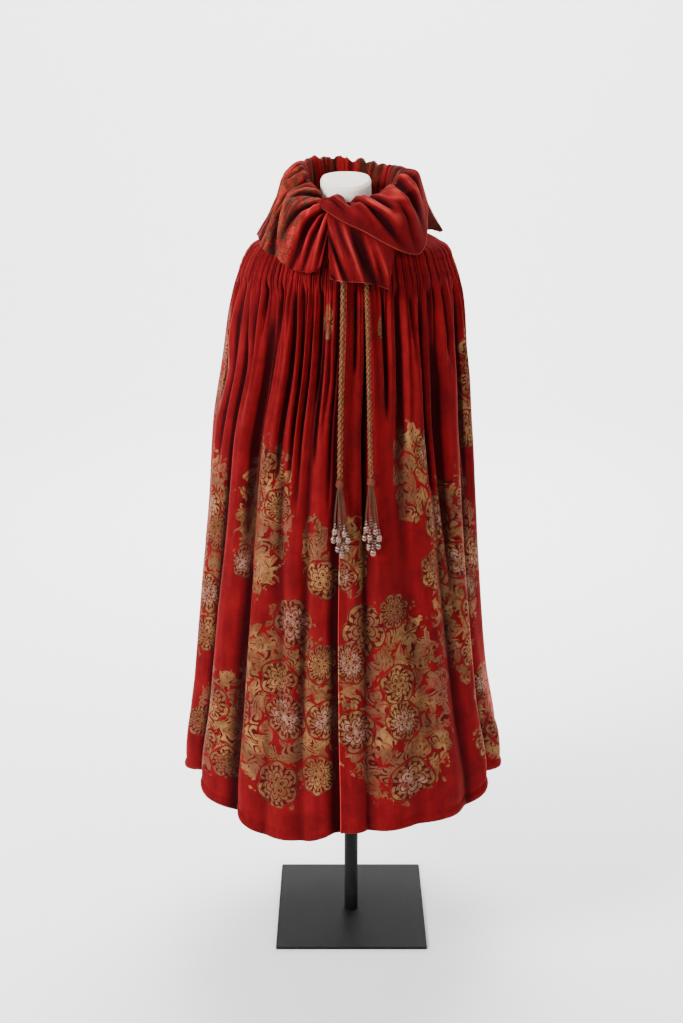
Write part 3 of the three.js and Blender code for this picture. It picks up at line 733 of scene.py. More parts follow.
def ruff_grid():
    """The ruff: uneven wrinkles, small ones between them, wide lobes, deep grooves and listed creases,
    all deepest over the belly. The wrinkles and lobes die out at the left front, where the creases
    take over."""
    start, end = RUFF["azimuth"][0], RUFF["azimuth"][-1]
    azimuth = np.linspace(start, end, RUFF_WRINKLES * 12 + 1)
    share = np.linspace(0, 1, 44)
    row = rows_at(azimuth, RUFF, "azimuth")
    neck = {name: SECTIONS[name][0] for name in ("half", "front", "back")}
    row["base"] = section_radius(neck, azimuth) - 1
    row["base_z"] = np.full_like(azimuth, SECTIONS["z"][0] + SEAT)
    row["crest_z"] = row["crest_z"] + 2.4 * np.sin(0.17 * azimuth) + 1.4 * np.sin(0.43 * azimuth)
    row["edge_z"] = row["edge_z"] + 2.5 * np.sin(0.36 * azimuth + 1) ** 3
    s = share[:, None]
    across = (azimuth - start) / (end - start) * RUFF_WRINKLES
    lean = 1.6 * np.sin(across * 0.31) + 0.9 * np.sin(across * 1.3)
    index = across[None, :] + lean * (s - 0.4)
    left = ease((azimuth - 292) / 16)
    crest = bell(s, 0.22, 0.15)
    wrinkle = RUFF_WRINKLE_DEPTH * troughs(index, 3, 0.9) * (1 - 0.6 * crest) * (1 - 0.72 * left)
    small = 2.4 * troughs(2.3 * index + 4 * s + 0.5 * np.sin(0.9 * index), 9, 0.8) * (1 - 0.5 * left)
    lobes = 6 * troughs((azimuth - start) / 19 + 0.3 * np.sin(azimuth / 23) + 0.5 * s, 5, 2.2)
    lobes = lobes * (1 - left)
    by_hand = creases(azimuth[None, :] * RUFF_UNITS[0], s * RUFF_UNITS[1], RUFF_CREASES)
    groove = sum(deep * bell(azimuth - at, 4 * (0.5 - s), wide) for at, deep, wide in GROOVES)
    swell = np.sin(np.pi * np.minimum(s * 1.4, 0.5)) * mix(1, 0.5, ease((s - 0.6) / 0.4))
    calm = np.clip((azimuth - RUFF["azimuth"][1]) / 12, 0.2, 1)
    depth = (wrinkle + small + lobes + groove + by_hand) * swell * calm
    depth = depth * (1 - 0.72 * crest * (1 - left))
    depth = depth - 5 * left * ease(s * 1.3)
    outer, inner = collar_grid(azimuth, row, share, depth)
    flat = flat_grid(np.radians(azimuth) * RUFF_FLAT[0], RUFF_FLAT[1] * (1 - s), outer.shape[:2])
    # With its painted light: painted shade in the valleys, a painted highlight on the ridges.
    return outer, inner, flat, painted_fold_light_of(depth, 13, 4.0)


def swath_grid():
    """The crossing end: diagonal troughs, finer ones between them and listed creases, all
    shallower towards its ends and edges."""
    start, end = SWATH["azimuth"][0], SWATH["azimuth"][-1]
    azimuth = np.linspace(start, end, SWATH_CELLS * 9 + 1)
    share = np.linspace(0, 1, 48)
    s, across = share[:, None], np.linspace(0, 1, len(azimuth))[None, :]
    phase = s * 0.9 - across * 1.1
    wave = 0.5 - 0.5 * np.cos(2 * np.pi * SWATH_FOLDS * phase)
    ends = np.sin(np.pi * np.clip(across, 0.0001, 0.9999)) ** 0.5
    fine = 0.5 - 0.5 * np.cos(2 * np.pi * (SWATH_FOLDS * 2.6 * phase + 0.4 * np.sin(5 * across)))
    by_hand = creases(across * SWATH_UNITS[0], s * SWATH_UNITS[1], SWATH_CREASES)
    depth = SWATH_FOLD_DEPTH * 0.5 * wave + 0.8 * fine + by_hand
    depth = depth * ends * np.sin(np.pi * s) ** 0.7
    outer, inner = collar_grid(azimuth, rows_at(azimuth, SWATH, "azimuth"), share, depth)
    flat = flat_grid(across * SWATH_FLAT[0], SWATH_FLAT[1] * (1 - s), outer.shape[:2])
    # With its painted light: painted shade in the valleys, a painted highlight on the ridges.
    return outer, inner, flat, painted_fold_light_of(depth, 26, 5.0)


def moved_in(points, distance):
    """Points moved level towards the neck's axis."""
    middle = SECTIONS["middle"][0]
    length = np.hypot(points[..., 0] - middle, points[..., 1])
    scale = 1 - distance / length
    x = middle + (points[..., 0] - middle) * scale
    return np.stack([x, points[..., 1] * scale, points[..., 2]], -1)


def hanging_grid(swath_inner):
    """The hanging end: from under the crossing end to its lower edge, bulged and softly folded."""
    rings, columns = swath_inner.shape[:2]
    first = round(HANGING_FROM / SWATH_CELLS * (columns - 1))
    last = round(HANGING_TO / SWATH_CELLS * (columns - 1))
    upper = moved_in(swath_inner[round(0.88 * (rings - 1)), first : last + 1], SEAT)
    start = moved_in(swath_inner[-1, first : last + 1], SEAT * 2)
    across = np.linspace(0, 1, last - first + 1)
    knots = np.linspace(0, 1, len(HANGING["x"]))
    edge = np.stack([curve(across, knots, HANGING[n]) for n in "xyz"], -1)
    bulge = np.interp(across, knots, HANGING["bulge"])
    t = np.linspace(0, 1, 30)[1:, None]
    fold = 1.6 * np.cos(2 * np.pi * (across * 2.5 - t * 0.7))
    fine = 0.9 * np.cos(2 * np.pi * (across * 6.3 - t * 1.6 + 0.2 * np.sin(9 * across)))
    by_hand = creases(across * HANGING_UNITS[0], t * HANGING_UNITS[1], HANGING_CREASES)
    out = (bulge + fold + fine + 3 - by_hand) * np.sin(np.pi * t * 0.85)
    free = mix(start[None], edge[None], t[..., None])
    free[..., 1] -= out
    free[..., 2] += out * 0.3
    outer = np.concatenate([upper[None], start[None], free])
    up = np.linspace(HANGING_FLAT[1], 0, len(outer))[:, None]
    flat = flat_grid(across * HANGING_FLAT[0], up, outer.shape[:2])
    depth = np.concatenate([np.zeros((2, len(across))), by_hand - fold - fine])
    # With its painted light: painted shade in the valleys, a painted highlight on the ridges.
    return outer, moved_in(outer, WALL), flat, painted_fold_light_of(depth, 26, 6.0)


# Meshes.


def quads_between(upper, lower):
    """The faces between two rows of point numbers, seen with the first above the second."""
    corners = [upper[..., :-1], lower[..., :-1], lower[..., 1:], upper[..., 1:]]
    return np.stack(corners, -1).reshape(-1, 4)


def mesh_object(name, points, faces, finishes, uv=None, kinds=None, marks=None):
    """A smooth mesh in metres from points in millimetres, at the origin, with each point's flat
    place, each face's finish and marks for the materials where they are given."""
    mesh = bpy.data.meshes.new(name)
    mesh.from_pydata((points * MM).tolist(), [], [list(f) for f in faces])
    if uv is not None:
        corners = np.zeros(len(mesh.loops), np.int32)
        mesh.loops.foreach_get("vertex_index", corners)
        layer = mesh.uv_layers.new(name="UVMap")
        layer.data.foreach_set("uv", uv[corners].astype(np.float32).ravel())
    for mark, values in (marks or {}).items():
        layer = mesh.attributes.new(mark, "FLOAT", "POINT")
        layer.data.foreach_set("value", values.astype(np.float32))
    mesh.polygons.foreach_set("use_smooth", np.ones(len(mesh.polygons), bool))
    for finish in finishes:
        mesh.materials.append(finish)
    if kinds is not None:
        mesh.polygons.foreach_set("material_index", np.asarray(kinds, np.int32))
    mesh.update()
    obj = bpy.data.objects.new(name, mesh)
    bpy.context.scene.collection.objects.link(obj)
    return obj


def cloth_object(name, grids, finish, ovals=()):
    """A closed piece of cloth from an outer and an inner grid, with its four edges shut."""
    outer, inner, flat, painted_fold_light = grids
    rows, columns = outer.shape[:2]
    points = np.concatenate([outer.reshape(-1, 3), inner.reshape(-1, 3)])
    a = np.arange(rows * columns).reshape(rows, columns)
    b = a + rows * columns
    faces = np.concatenate(
        [
            quads_between(a[:-1], a[1:]),
            quads_between(b[1:], b[:-1]),
            quads_between(a[-1], b[-1]),
            quads_between(b[0], a[0]),
            np.stack([a[:-1, 0], b[:-1, 0], b[1:, 0], a[1:, 0]], -1),
            np.stack([a[:-1, -1], a[1:, -1], b[1:, -1], b[:-1, -1]], -1),
        ]
    )
    uv = np.concatenate([flat.reshape(-1, 2), flat.reshape(-1, 2)])
    # The painted light of the outer side, and full painted shade all over the inner side.
    marks = {"painted_fold_light": np.concatenate([painted_fold_light.ravel(), np.ones(painted_fold_light.size)])}
    if ovals:
        marks["near"] = oval_distance(uv, ovals)
    return mesh_object(name, points, faces, [finish], uv, marks=marks)


def closed_rings(rings):
    """Points and faces of closed rings from top to bottom, with a fan over each end."""
    count, sides = rings.shape[:2]
    grid = np.arange(count * sides).reshape(count, sides)
    grid = np.concatenate([grid, grid[:, :1]], axis=1)
    faces = quads_between(grid[:-1], grid[1:]).tolist()
    top, bottom = count * sides, count * sides + 1
    faces += [[top, i, j] for i, j in zip(grid[0, :-1], grid[0, 1:])]
    faces += [[bottom, j, i] for i, j in zip(grid[-1, :-1], grid[-1, 1:])]
    ends = np.stack([rings[0].mean(0), rings[-1].mean(0)])
    return np.concatenate([rings.reshape(-1, 3), ends]), faces


def across_path(path):
    """Two directions square to a path and to each other at each point, the first nearest to +X."""
    tangent = np.gradient(path, axis=0)
    tangent /= np.linalg.norm(tangent, axis=1, keepdims=True)
    side = np.array([1.0, 0, 0]) - tangent * tangent[:, :1]
    side /= np.linalg.norm(side, axis=1, keepdims=True)
    return side, np.cross(tangent, side)


def tube(path, radius, sides):
    """A closed tube: circles across the tangent at each point of a path, and a cap at each end."""
    side, other = across_path(path)
    angle = np.linspace(0, 2 * np.pi, sides, endpoint=False)[None, :, None]
    circle = side[:, None] * np.cos(angle) + other[:, None] * np.sin(angle)
    return closed_rings(path[:, None] + radius * circle)


def joined(parts):
    """Several (points, faces) as one, and the number of faces of each."""
    points, faces, counts, start = [], [], [], 0
    for some, these in parts:
        points.append(some)
        faces += [[i + start for i in face] for face in these]
        counts.append(len(these))
        start += len(some)
    return np.concatenate(points), faces, counts


def cord_path(route, steps):
    """A cord's centreline: x and y as curves of z."""
    x, y, z = np.array(route, float)[::-1].T
    heights = np.linspace(z[-1], z[0], steps)
    return np.stack([curve(heights, z, x), curve(heights, z, y), heights], -1)


def braid(path, radius):
    """Six strands round a core, three each way: their angles run with the length, and each lies
    over and then under the ones that it meets, its radius being r + d cos 3a. The core and the
    strands of one way have the first finish, and the other strands the second."""
    length = np.concatenate([[0], np.cumsum(np.linalg.norm(np.diff(path, axis=0), axis=1))])
    angle = length / (radius * 6.4) * 2 * np.pi
    side, other = across_path(path)
    parts = [tube(path, radius * 0.5, 8)]
    for way in (1, -1):
        for i in range(3):
            turn = way * angle + i * 2 * np.pi / 3
            out = radius * (0.62 + way * 0.07 * np.cos(3 * angle))
            circle = side * np.cos(turn)[:, None] + other * np.sin(turn)[:, None]
            parts.append(tube(path + out[:, None] * circle, radius * 0.34, 6))
    points, faces, counts = joined(parts)
    kinds = np.repeat([0, 0, 0, 0, 1, 1, 1], counts)
    return points, faces, kinds


def placed_profile(profile, sides, at, way, ripple=0.0, turns=3):
    """A profile of (radius, height) turned round its axis, then set at a point along a direction.
    A ripple winds round it as r (1 + k cos(n a + 9 t))."""
    profile = np.array(profile, float)
    angle = np.linspace(0, 2 * np.pi, sides, endpoint=False)[None, :]
    t = np.linspace(0, 1, len(profile))[:, None]
    radius = profile[:, :1] * (1 + ripple * np.cos(turns * angle + 9 * t))
    way = way / np.linalg.norm(way)
    side = np.cross(way, [0, 1.0, 0])
    side /= np.linalg.norm(side)
    other = np.cross(way, side)
    rings = (
        at
        + way * profile[:, 1][:, None, None]
        + side * (radius * np.cos(angle))[..., None]
        + other * (radius * np.sin(angle))[..., None]
    )
    return closed_rings(rings)


def barrel(radius, height, rounds):
    """A bead's profile from top to bottom: a barrel whose radius swells as a half sine."""
    t = np.linspace(0, 1, rounds)
    swell = 0.62 + 0.38 * np.sin(np.pi * t) ** 0.6
    ends = np.array([[radius * 0.3, 0.0]]), np.array([[radius * 0.3, -height]])
    body = np.stack([radius * swell, -height * (0.04 + 0.92 * t)], -1)
    return np.concatenate([ends[0], body, ends[1]])


# Materials.


class Wire:
    """A socket of a material's tree. Arithmetic on wires adds Math nodes."""

    def __init__(self, tree, socket=None):
        self.tree, self.socket = tree, socket

    def add(self, kind, sockets=None, out=0, **settings):
        """A node of a kind: its settings first, then values or links into its sockets."""
        node = self.tree.nodes.new(kind)
        for name, value in settings.items():
            setattr(node, name, value)
        for key, value in (sockets or {}).items():
            if isinstance(value, Wire):
                self.tree.links.new(value.socket, node.inputs[key])
            else:
                node.inputs[key].default_value = value
        return Wire(self.tree, node.outputs[out] if len(node.outputs) else None)

    def out(self, name):
        """Another output of the same node."""
        return Wire(self.tree, self.socket.node.outputs[name])

    def part(self, axis):
        """One coordinate of a vector."""
        return self.add("ShaderNodeSeparateXYZ", {0: self}, out=axis)

    def math(self, operation, *values):
        """A Math node on this and more numbers."""
        return self.add("ShaderNodeMath", dict(enumerate((self,) + values)), operation=operation)

    def vector(self, operation, *values, out=0):
        """A Vector Math node on this and more vectors."""
        sockets = dict(enumerate((self,) + values))
        return self.add("ShaderNodeVectorMath", sockets, out, operation=operation)

    def __add__(self, other):
        return self.math("ADD", other)

    __radd__ = __add__

    def __sub__(self, other):
        return self.math("SUBTRACT", other)

    def __rsub__(self, other):
        return self.math("MULTIPLY_ADD", -1.0, other)

    def __mul__(self, other):
        return self.math("MULTIPLY", other)

    __rmul__ = __mul__

    def __truediv__(self, other):
        return self.math("DIVIDE", other)

    def __rtruediv__(self, other):
        return self.math("POWER", -1.0) * other

    def step(self, low, high):
        """0 below low, 1 above high, smooth between."""
        return self.add(
            "ShaderNodeMapRange",
            {"Value": self, "From Min": low, "From Max": high},
            interpolation_type="SMOOTHSTEP",
        )

    def below(self, limit, soft):
        """1 where this is below a limit, fading over a soft width."""
        return ((limit - self) / soft + 0.5).math("MINIMUM", 1.0).math("MAXIMUM", 0.0)

    def mixed(self, a, b):
        """Two colours mixed by this."""
        return self.add(
            "ShaderNodeMix",
            {"Factor": self, 6: a, 7: b},
            out=2,
            data_type="RGBA",
        )


def new_material(name):
    """An empty material, a wire to start its nodes from, and the object's own coordinates."""
    material = bpy.data.materials.new(name)
    material.use_nodes = True
    material.node_tree.nodes.clear()
    start = Wire(material.node_tree)
    return material, start, start.add("ShaderNodeTexCoord", out="Object")


def finished(material, start, sockets):
    """Puts the shader and the output on a material."""
    shader = start.add("ShaderNodeBsdfPrincipled", sockets)
    start.add("ShaderNodeOutputMaterial", {"Surface": shader})
    return material


def shaded(colour, share):
    """A colour times a share, opaque."""
    return tuple(c * share for c in colour[:3]) + (1.0,)


def bump(start, height, strength, distance):
    """A Bump node: its height, its strength and how far in metres a height of 1 stands out."""
    sockets = {"Height": height, "Strength": strength, "Distance": distance}
    return start.add("ShaderNodeBump", sockets)


def noise(start, vector, scale, detail=3.0, rough=0.55):
    """A noise from about 0.25 to 0.75, with so many patches to each unit of its vector."""
    return start.add(
        "ShaderNodeTexNoise",
        {"Vector": vector, "Scale": scale, "Detail": detail, "Roughness": rough},
    )


# The stencilled bouquets of the panels: main fold, height, half width and half height in
# millimetres.
BOUQUETS = [
    (1.7, 590, 125, 190),
    (3.6, 800, 110, 210),
    (4.4, 480, 120, 110),
    (6.9, 820, 110, 190),
    (8.2, 500, 130, 160),
    (9.9, 790, 120, 190),
    (11.4, 510, 125, 150),
    (13.4, 830, 115, 200),
    (14.4, 520, 100, 120),
    (16.3, 595, 130, 172),
    (2.3, 1010, 50, 95),
    (15.3, 930, 85, 150),
    (0.6, 870, 36, 80),
    (4.8, 1130, 90, 110),
    (12.6, 1180, 90, 110),
    (8.4, 1120, 95, 120),
    (17.3, 880, 34, 70),
    (17.35, 1275, 16, 34),
    (1.5, 1265, 12, 22),
]
# The patches of the ruff: place along and up it, and half sizes, in metres.
RUFF_PATCHES = [
    (0.815, 0.05, 0.034, 0.16),
    (0.755, 0.11, 0.062, 0.22),
    (0.650, 0.12, 0.046, 0.20),
    (0.535, 0.12, 0.030, 0.16),
    (0.385, 0.12, 0.060, 0.19),
    (0.255, 0.10, 0.052, 0.20),
]
# From one rosette's centre to the next, in metres, on the panels and on the ruff.
PANEL_SPACING = 0.095
RUFF_SPACING = 0.05
# The leaves on the panels, in metres: spacing, length, half width and how far the pattern is moved.
LEAVES = [
    (0.038, 0.0215, 0.0105, 0.0),
    (0.024, 0.0135, 0.0066, 0.37),
]
RUFF_METAL = 0.16  # how bright the ruff's stencil is, beside the panels'
# How strong the painted highlight on the folds' ridges is, on plain and stencilled velvet and on the
# ruff.
RIDGE_HIGHLIGHT = 0.34
RUFF_RIDGE_HIGHLIGHT = 0.1
BRONZE = (0.17, 0.066, 0.036)
DARK_LINES = (0.022, 0.003, 0.003, 1.0)
EDGE_LINE = (0.17, 0.025, 0.018, 1.0)
# The painted highlight's colour on the folds' ridges, and the painted shade's colour in their valleys.
PAINTED_HIGHLIGHT_RED = (0.42, 0.055, 0.038, 1.0)
PAINTED_SHADE_RED = (0.007, 0.0002, 0.0008, 1.0)
SHEEN = {
    "Sheen Weight": 0.4,
    "Sheen Roughness": 0.3,
    "Sheen Tint": (1.0, 0.13, 0.1, 1.0),
    "Specular IOR Level": 0.03,
}


def panel_ovals():
    """The bouquets' places on the flat cloth, in metres."""
    ovals = []
    for fold, z, width, height in BOUQUETS:
        u, v = flat_place(np.array(float(fold)), np.array(float(z)))
        ovals.append((float(u), float(v), width * MM, height * MM))
    return ovals


def oval_distance(flat, ovals):
    """At each flat place the least of each oval's own distance, which is 1 on its outline."""
    along, up = flat.T
    return np.min([np.hypot((along - u) / w, (up - v) / h) for u, v, w, h in ovals], 0)


def inside_ovals(place, ovals):
    """The same distance for a wire, such as a motif's centre."""
    least = None
    for u, v, width, height in ovals:
        scale, shift = (1 / width, 1 / height, 0.0), (-u / width, -v / height, 0.0)
        distance = place.vector("MULTIPLY_ADD", scale, shift).vector("LENGTH", out="Value")
        least = distance if least is None else least.math("MINIMUM", distance)
    return least


def scattered(start, flat, spacing, randomness, channel):
    """Places for motifs, one to a cell of the cloth: the place from each one's centre after a turn
    of its own, the centre, and its own random numbers, of which a channel gives the turn."""
    cells = start.add(
        "ShaderNodeTexVoronoi",
        {"Vector": flat, "Scale": 1 / spacing, "Randomness": randomness},
        voronoi_dimensions="2D",
    )
    centre = cells.out("Position")
    chance = start.add("ShaderNodeSeparateColor", {0: cells.out("Color")})
    turned = start.add(
        "ShaderNodeVectorRotate",
        {"Vector": flat.vector("SUBTRACT", centre), "Angle": chance.out(channel) * 6.28},
        rotation_type="Z_AXIS",
    )
    return turned, centre, chance


def leaves(start, flat, spacing, length, width, shift):
    """Scattered leaves with a rib and slanting veins."""
    moved = flat.vector("ADD", (shift, shift * 0.7, 0.0))
    leaf, _, _ = scattered(start, moved, spacing, 0.8, "Red")
    along = leaf.part("X") / length
    bent = leaf.part("Y") + along * along * (width * 0.7) - width * 0.25
    across = bent.math("ABSOLUTE") / width
    blade = (along * along + across).below(0.98, 0.1)
    veins = ((along + across * 0.8) * 4.5).math("FRACT").below(0.24, 0.16)
    rib = across.below(0.09, 0.08)
    return blade * (1 - veins.math("MAXIMUM", rib))


def rosette(angle, q, chance):
    """A rosette at an angle and a share of its radius: its outline, with 5 to 9 petals, and the
    lines cut into it, which are rings, splits, hatching and a circle of dots."""
    petals = (chance.out("Green") * 5.0).math("FLOOR") * 0.5 + 2.5
    curl = (chance.out("Red") * 7.0).math("FRACT") * 3.4 - 1.2
    arch = (angle * petals + q * curl).math("COSINE").math("ABSOLUTE")
    outline = q.below(arch * 0.2 + 0.84, 0.05)
    rings = (q * 4.4 - arch * 1.1 + 0.7).math("FRACT").below(0.23, 0.1)
    split = arch.below(0.13, 0.1) * q.step(0.3, 0.36)
    hatch = (angle * petals * 6.0 + q * curl * 6.0).math("SINE").below(-0.4, 0.4)
    hatch = hatch * q.step(0.6, 0.66) * q.below(0.86, 0.06)
    dots = (angle * 5.0).math("SINE").below(-0.3, 0.3) * q.step(0.16, 0.2) * q.below(0.28, 0.04)
    cut = rings.math("MAXIMUM", split).math("MAXIMUM", hatch).math("MAXIMUM", dots)
    return outline, cut * (1 - q.below(0.10, 0.04))


def stencil(start, flat, ovals, spacing):
    """A generic stencil of scattered rosettes and leaves inside the ovals, with swirling lines
    between them: its cover, how much of it is the paler metal, the dark lines, and how yellow the
    gold is."""
    wobble = noise(start, flat, 9.0, 2.0).out("Color").vector("SUBTRACT", (0.5, 0.5, 0.5))
    flat = flat.vector("ADD", wobble.vector("MULTIPLY", (0.024, 0.024, 0.0)))
    own, centre, chance = scattered(start, flat, spacing, 0.6, "Blue")
    x, y = own.part("X"), own.part("Y") * (chance.out("Green") * 0.3 + 1.0)
    radius = (x * x + y * y).math("SQRT")
    q = radius / (chance.out("Red") * (0.16 * spacing) + 0.34 * spacing)
    outline, cut = rosette(y.math("ARCTAN2", x), q, chance)
    inside = inside_ovals(centre, ovals).below(0.97, 0.01)
    rosettes = outline * (1 - cut) * inside
    lines = (noise(start, flat, 2.1 / spacing, 1.0) * 12.0).math("FRACT").below(0.42, 0.1)
    gaps = noise(start, flat, 3.6 / spacing, 2.0)
    near = start.add("ShaderNodeAttribute", out="Fac", attribute_name="near")
    ragged = (near + gaps * 0.9 - 0.45).below(0.93, 0.02)
    between = ragged * (1 - q.below(1.06, 0.04) * inside)
    field = gaps.step(0.47, 0.49) * between
    size = spacing / PANEL_SPACING
    large, small = [
        leaves(start, flat, *(size * each for each in sizes), shift) for *sizes, shift in LEAVES
    ]
    foliage = (large.math("MAXIMUM", small) * between).math("MAXIMUM", (1 - lines) * field)
    streak = noise(start, flat, 60.0, 3.0).step(0.4, 0.6)
    pale = chance.out("Blue").step(0.5, 0.54) * q.below(0.62, 0.2) * inside * streak * 0.8
    own_metal = noise(start, flat, 1.1 / spacing, 1.0).step(0.42, 0.58)
    drawn = (outline * cut * inside).math("MAXIMUM", lines * field)
    return rosettes.math("MAXIMUM", foliage), pale, drawn, own_metal


def stencilled(start, flat, colour, settings, ovals, spacing, share):
    """The stencil over a colour, in gold, bronze and paler metal as dark as a share makes them,
    broken by the nap and worn in patches: the new colour, and the metal's cover."""
    cover, pale, drawn, own_metal = stencil(start, flat, ovals, spacing)
    nap = noise(start, flat.vector("MULTIPLY", (420.0, 70.0, 1.0)), 1.0, 3.0, 0.7)
    worn = noise(start, flat, 70.0, 5.0, 0.7).step(0.34, 0.52) * 0.55 + 0.45
    cover = cover * worn * (nap.step(0.3, 0.55) * 0.4 + 0.6)
    gold = shaded(settings.gold_colour, share)
    grain = noise(start, flat, 17.0, 4.0, 0.7).step(0.35, 0.65)
    metal = grain.mixed(shaded(gold, 0.4), own_metal.mixed(shaded(BRONZE, share), gold))
    metal = pale.mixed(metal, shaded(settings.pale_colour, share))
    colour = (drawn * 0.7).mixed(colour, DARK_LINES)
    return cover.mixed(colour, metal), cover


def velvet(name, settings, highlight_share, ovals=(), spacing=PANEL_SPACING, metal_share=1.0, edge=False):
    """Pile velvet: crushed patches and streaks, painted shade in the folds' valleys and a painted
    highlight on their ridges as strong as the given share, a constant sheen, and the stencil inside
    its ovals. With an edge it is painted darker all over, as shade, with a lighter line along its
    lower edge."""
    material, start, solid = new_material(name)
    flat = start.add("ShaderNodeUVMap", uv_map="UVMap")
    painted_fold_light = start.add("ShaderNodeAttribute", out="Fac", attribute_name="painted_fold_light")
    crushed = noise(start, flat.vector("MULTIPLY", (60.0, 7.0, 1.0)), 1.0, 5.0, 0.65)
    patch = noise(start, solid, 19.0, 5.0, 0.65)
    # With an edge, the velvet is painted darker all over as shade.
    red = shaded(settings.velvet_colour, 0.6 if edge else 1.0)
    tone = (crushed * 0.45 + patch * 0.55).step(0.3, 0.7)
    colour = tone.mixed(shaded(red, 0.6), shaded(red, 1.35))
    rough = 0.82 + tone * 0.1
    height = noise(start, solid, 1500.0, 2.0) * 0.5 + crushed * 0.5
    # A painted highlight on the folds' ridges, fainter under the stencil.
    painted_highlight = painted_fold_light.below(-0.6, 0.35) * highlight_share
    sockets = dict(SHEEN)
    if ovals:
        colour, cover = stencilled(start, flat, colour, settings, ovals, spacing, metal_share)
        rough = rough - cover * 0.25
        height = height + cover * 0.4
        painted_highlight = painted_highlight * (1 - cover * 0.85)
        sockets["Metallic"] = cover * 0.25
    if edge:
        colour = flat.part("Y").below(0.0012, 0.001).mixed(colour, EDGE_LINE)
    # Painted light: the colour up to 2.2 times as bright on the ridges and 0.9 times in the valleys,
    # mixed to the painted highlight's red on the ridges and the painted shade's red in the valleys.
    painted_gain = 2.2 - painted_fold_light.step(-1.0, 0.05) * 1.3
    painted_lit = start.add("ShaderNodeVectorMath", {0: colour, "Scale": painted_gain}, operation="SCALE")
    valley = painted_fold_light.step(-0.25, 0.75) * 0.91
    sockets["Base Color"] = valley.mixed(painted_highlight.mixed(painted_lit, PAINTED_HIGHLIGHT_RED), PAINTED_SHADE_RED)
    sockets["Roughness"] = rough
    sockets["Normal"] = bump(start, height, 0.35, 0.0012)
    return finished(material, start, sockets)


def cover_cloth(name, settings):
    """The dress form's cover: a fine plain weave in off-white."""
    material, start, solid = new_material(name)
    warp = (solid.part("X") * 5200.0).math("SINE")
    weft = (solid.part("Z") * 5200.0).math("SINE")
    patch = noise(start, solid, 14.0, 3.0)
    pale = settings.form_colour
    sockets = {
        "Base Color": patch.step(0.3, 0.7).mixed(shaded(pale, 0.93), shaded(pale, 1)),
        "Roughness": 0.9,
        "Normal": bump(start, warp * weft + patch * 3.0, 0.15, 0.0006),
    }
    return finished(material, start, sockets)


def black_steel(name):
    """Satin powder coat: fine orange peel and a little dust."""
    material, start, solid = new_material(name)
    peel = noise(start, solid, 900.0, 2.0)
    dust = noise(start, solid, 9.0, 5.0, 0.65)
    sockets = {
        "Base Color": dust.step(0.4, 0.8).mixed((0.005, 0.005, 0.0055, 1), (0.010, 0.010, 0.0105, 1)),
        "Roughness": 0.5 + dust * 0.15,
        "Specular IOR Level": 0.12,
        "Normal": bump(start, peel, 0.1, 0.0004),
    }
    return finished(material, start, sockets)


def silk(name, colour):
    """A strand of silk cord: fine twisted threads along its length."""
    material, start, solid = new_material(name)
    threads = ((solid.part("X") + solid.part("Z") * 0.6) * 5200.0).math("SINE")
    patch = noise(start, solid, 130.0, 3.0)
    sockets = {
        "Base Color": patch.step(0.3, 0.7).mixed(shaded(colour, 0.6), shaded(colour, 1)),
        "Roughness": 0.5,
        "Normal": bump(start, threads + patch, 0.4, 0.0004),
        "Metallic": 0.15,
        "Specular IOR Level": 0.25,
    }
    return finished(material, start, sockets)


def glass_bead(name):
    """Opaque striped glass: terracotta, pink and white bands that wind along each bead."""
    material, start, solid = new_material(name)
    wind = solid.part("Z") * 1300.0 + (solid.part("X") * 700.0).math("SINE") * 1.2
    band = wind.math("SINE").step(-0.1, 0.2)
    patch = noise(start, solid, 60.0, 2.0).step(0.4, 0.6)
    ground = patch.mixed((0.035, 0.008, 0.005, 1), (0.12, 0.03, 0.018, 1))
    colour = band.mixed(ground, (0.19, 0.105, 0.075, 1))
    sockets = {"Base Color": colour, "Roughness": 0.25, "Coat Weight": 0.3}
    return finished(material, start, sockets)


def floor_finish(name, settings):
    """The stage's plain pale surface."""
    material, start, solid = new_material(name)
    pale = settings.stage_colour
    colour = noise(start, solid, 1.3, 2.0).mixed(shaded(pale, 0.99), shaded(pale, 1))
    return finished(material, start, {"Base Color": colour, "Roughness": 0.9})


# Shapes of the stage and the stand.


def floor_grid():
    """Rings of a round floor that curves up by a quarter circle into an upright wall."""
    flat, bend = FLOOR["flat"], FLOOR["bend"]
    angle = np.linspace(0, np.pi / 2, 20)
    radius = np.concatenate([[1, 1500, 3000], flat + bend * np.sin(angle), [flat + bend]])
    height = np.concatenate([[0, 0, 0], bend - bend * np.cos(angle), [FLOOR["wall"]]])
    turn = np.linspace(0, 2 * np.pi, 121)
    x, y = np.outer(radius, np.sin(turn)), np.outer(radius, np.cos(turn))
    return np.stack([x, y, np.broadcast_to(height[:, None], x.shape)], -1)


def circles(profile, sides):
    """Level circles round the pole's axis, for a profile of (radius, height)."""
    azimuth = np.linspace(0, 360, sides, endpoint=False)[None, :]
    radius, height = np.array(profile, float).T[..., None]
    return around(0.0, azimuth, radius, height)


def form_rings():
    """The dress form from the middle of its neck's top, over a rounded lip, down to its foot, and
    up the socket that takes the pole. The sections at the neck lean forward."""
    azimuth = np.linspace(0, 360, FORM_SIDES, endpoint=False)[None, :]
    z = levels(*FORM_LEVELS)
    row = rows_at(z, FORM, "z")
    rings = around(row["middle"], azimuth, section_radius(row, azimuth), z)
    rings[..., 2] += rings[..., 1] * math.tan(math.radians(NECK_TILT)) * row["lean"]
    centre = rings[:1].mean(1, keepdims=True)
    lip = [mix(centre, rings[:1], share) + [0, 0, rise] for share, rise in NECK_LIP]
    inside = circles([(SOCKET["radius"], SOCKET[end]) for end in ("foot", "top")], FORM_SIDES)
    return np.concatenate([*lip, rings, inside])


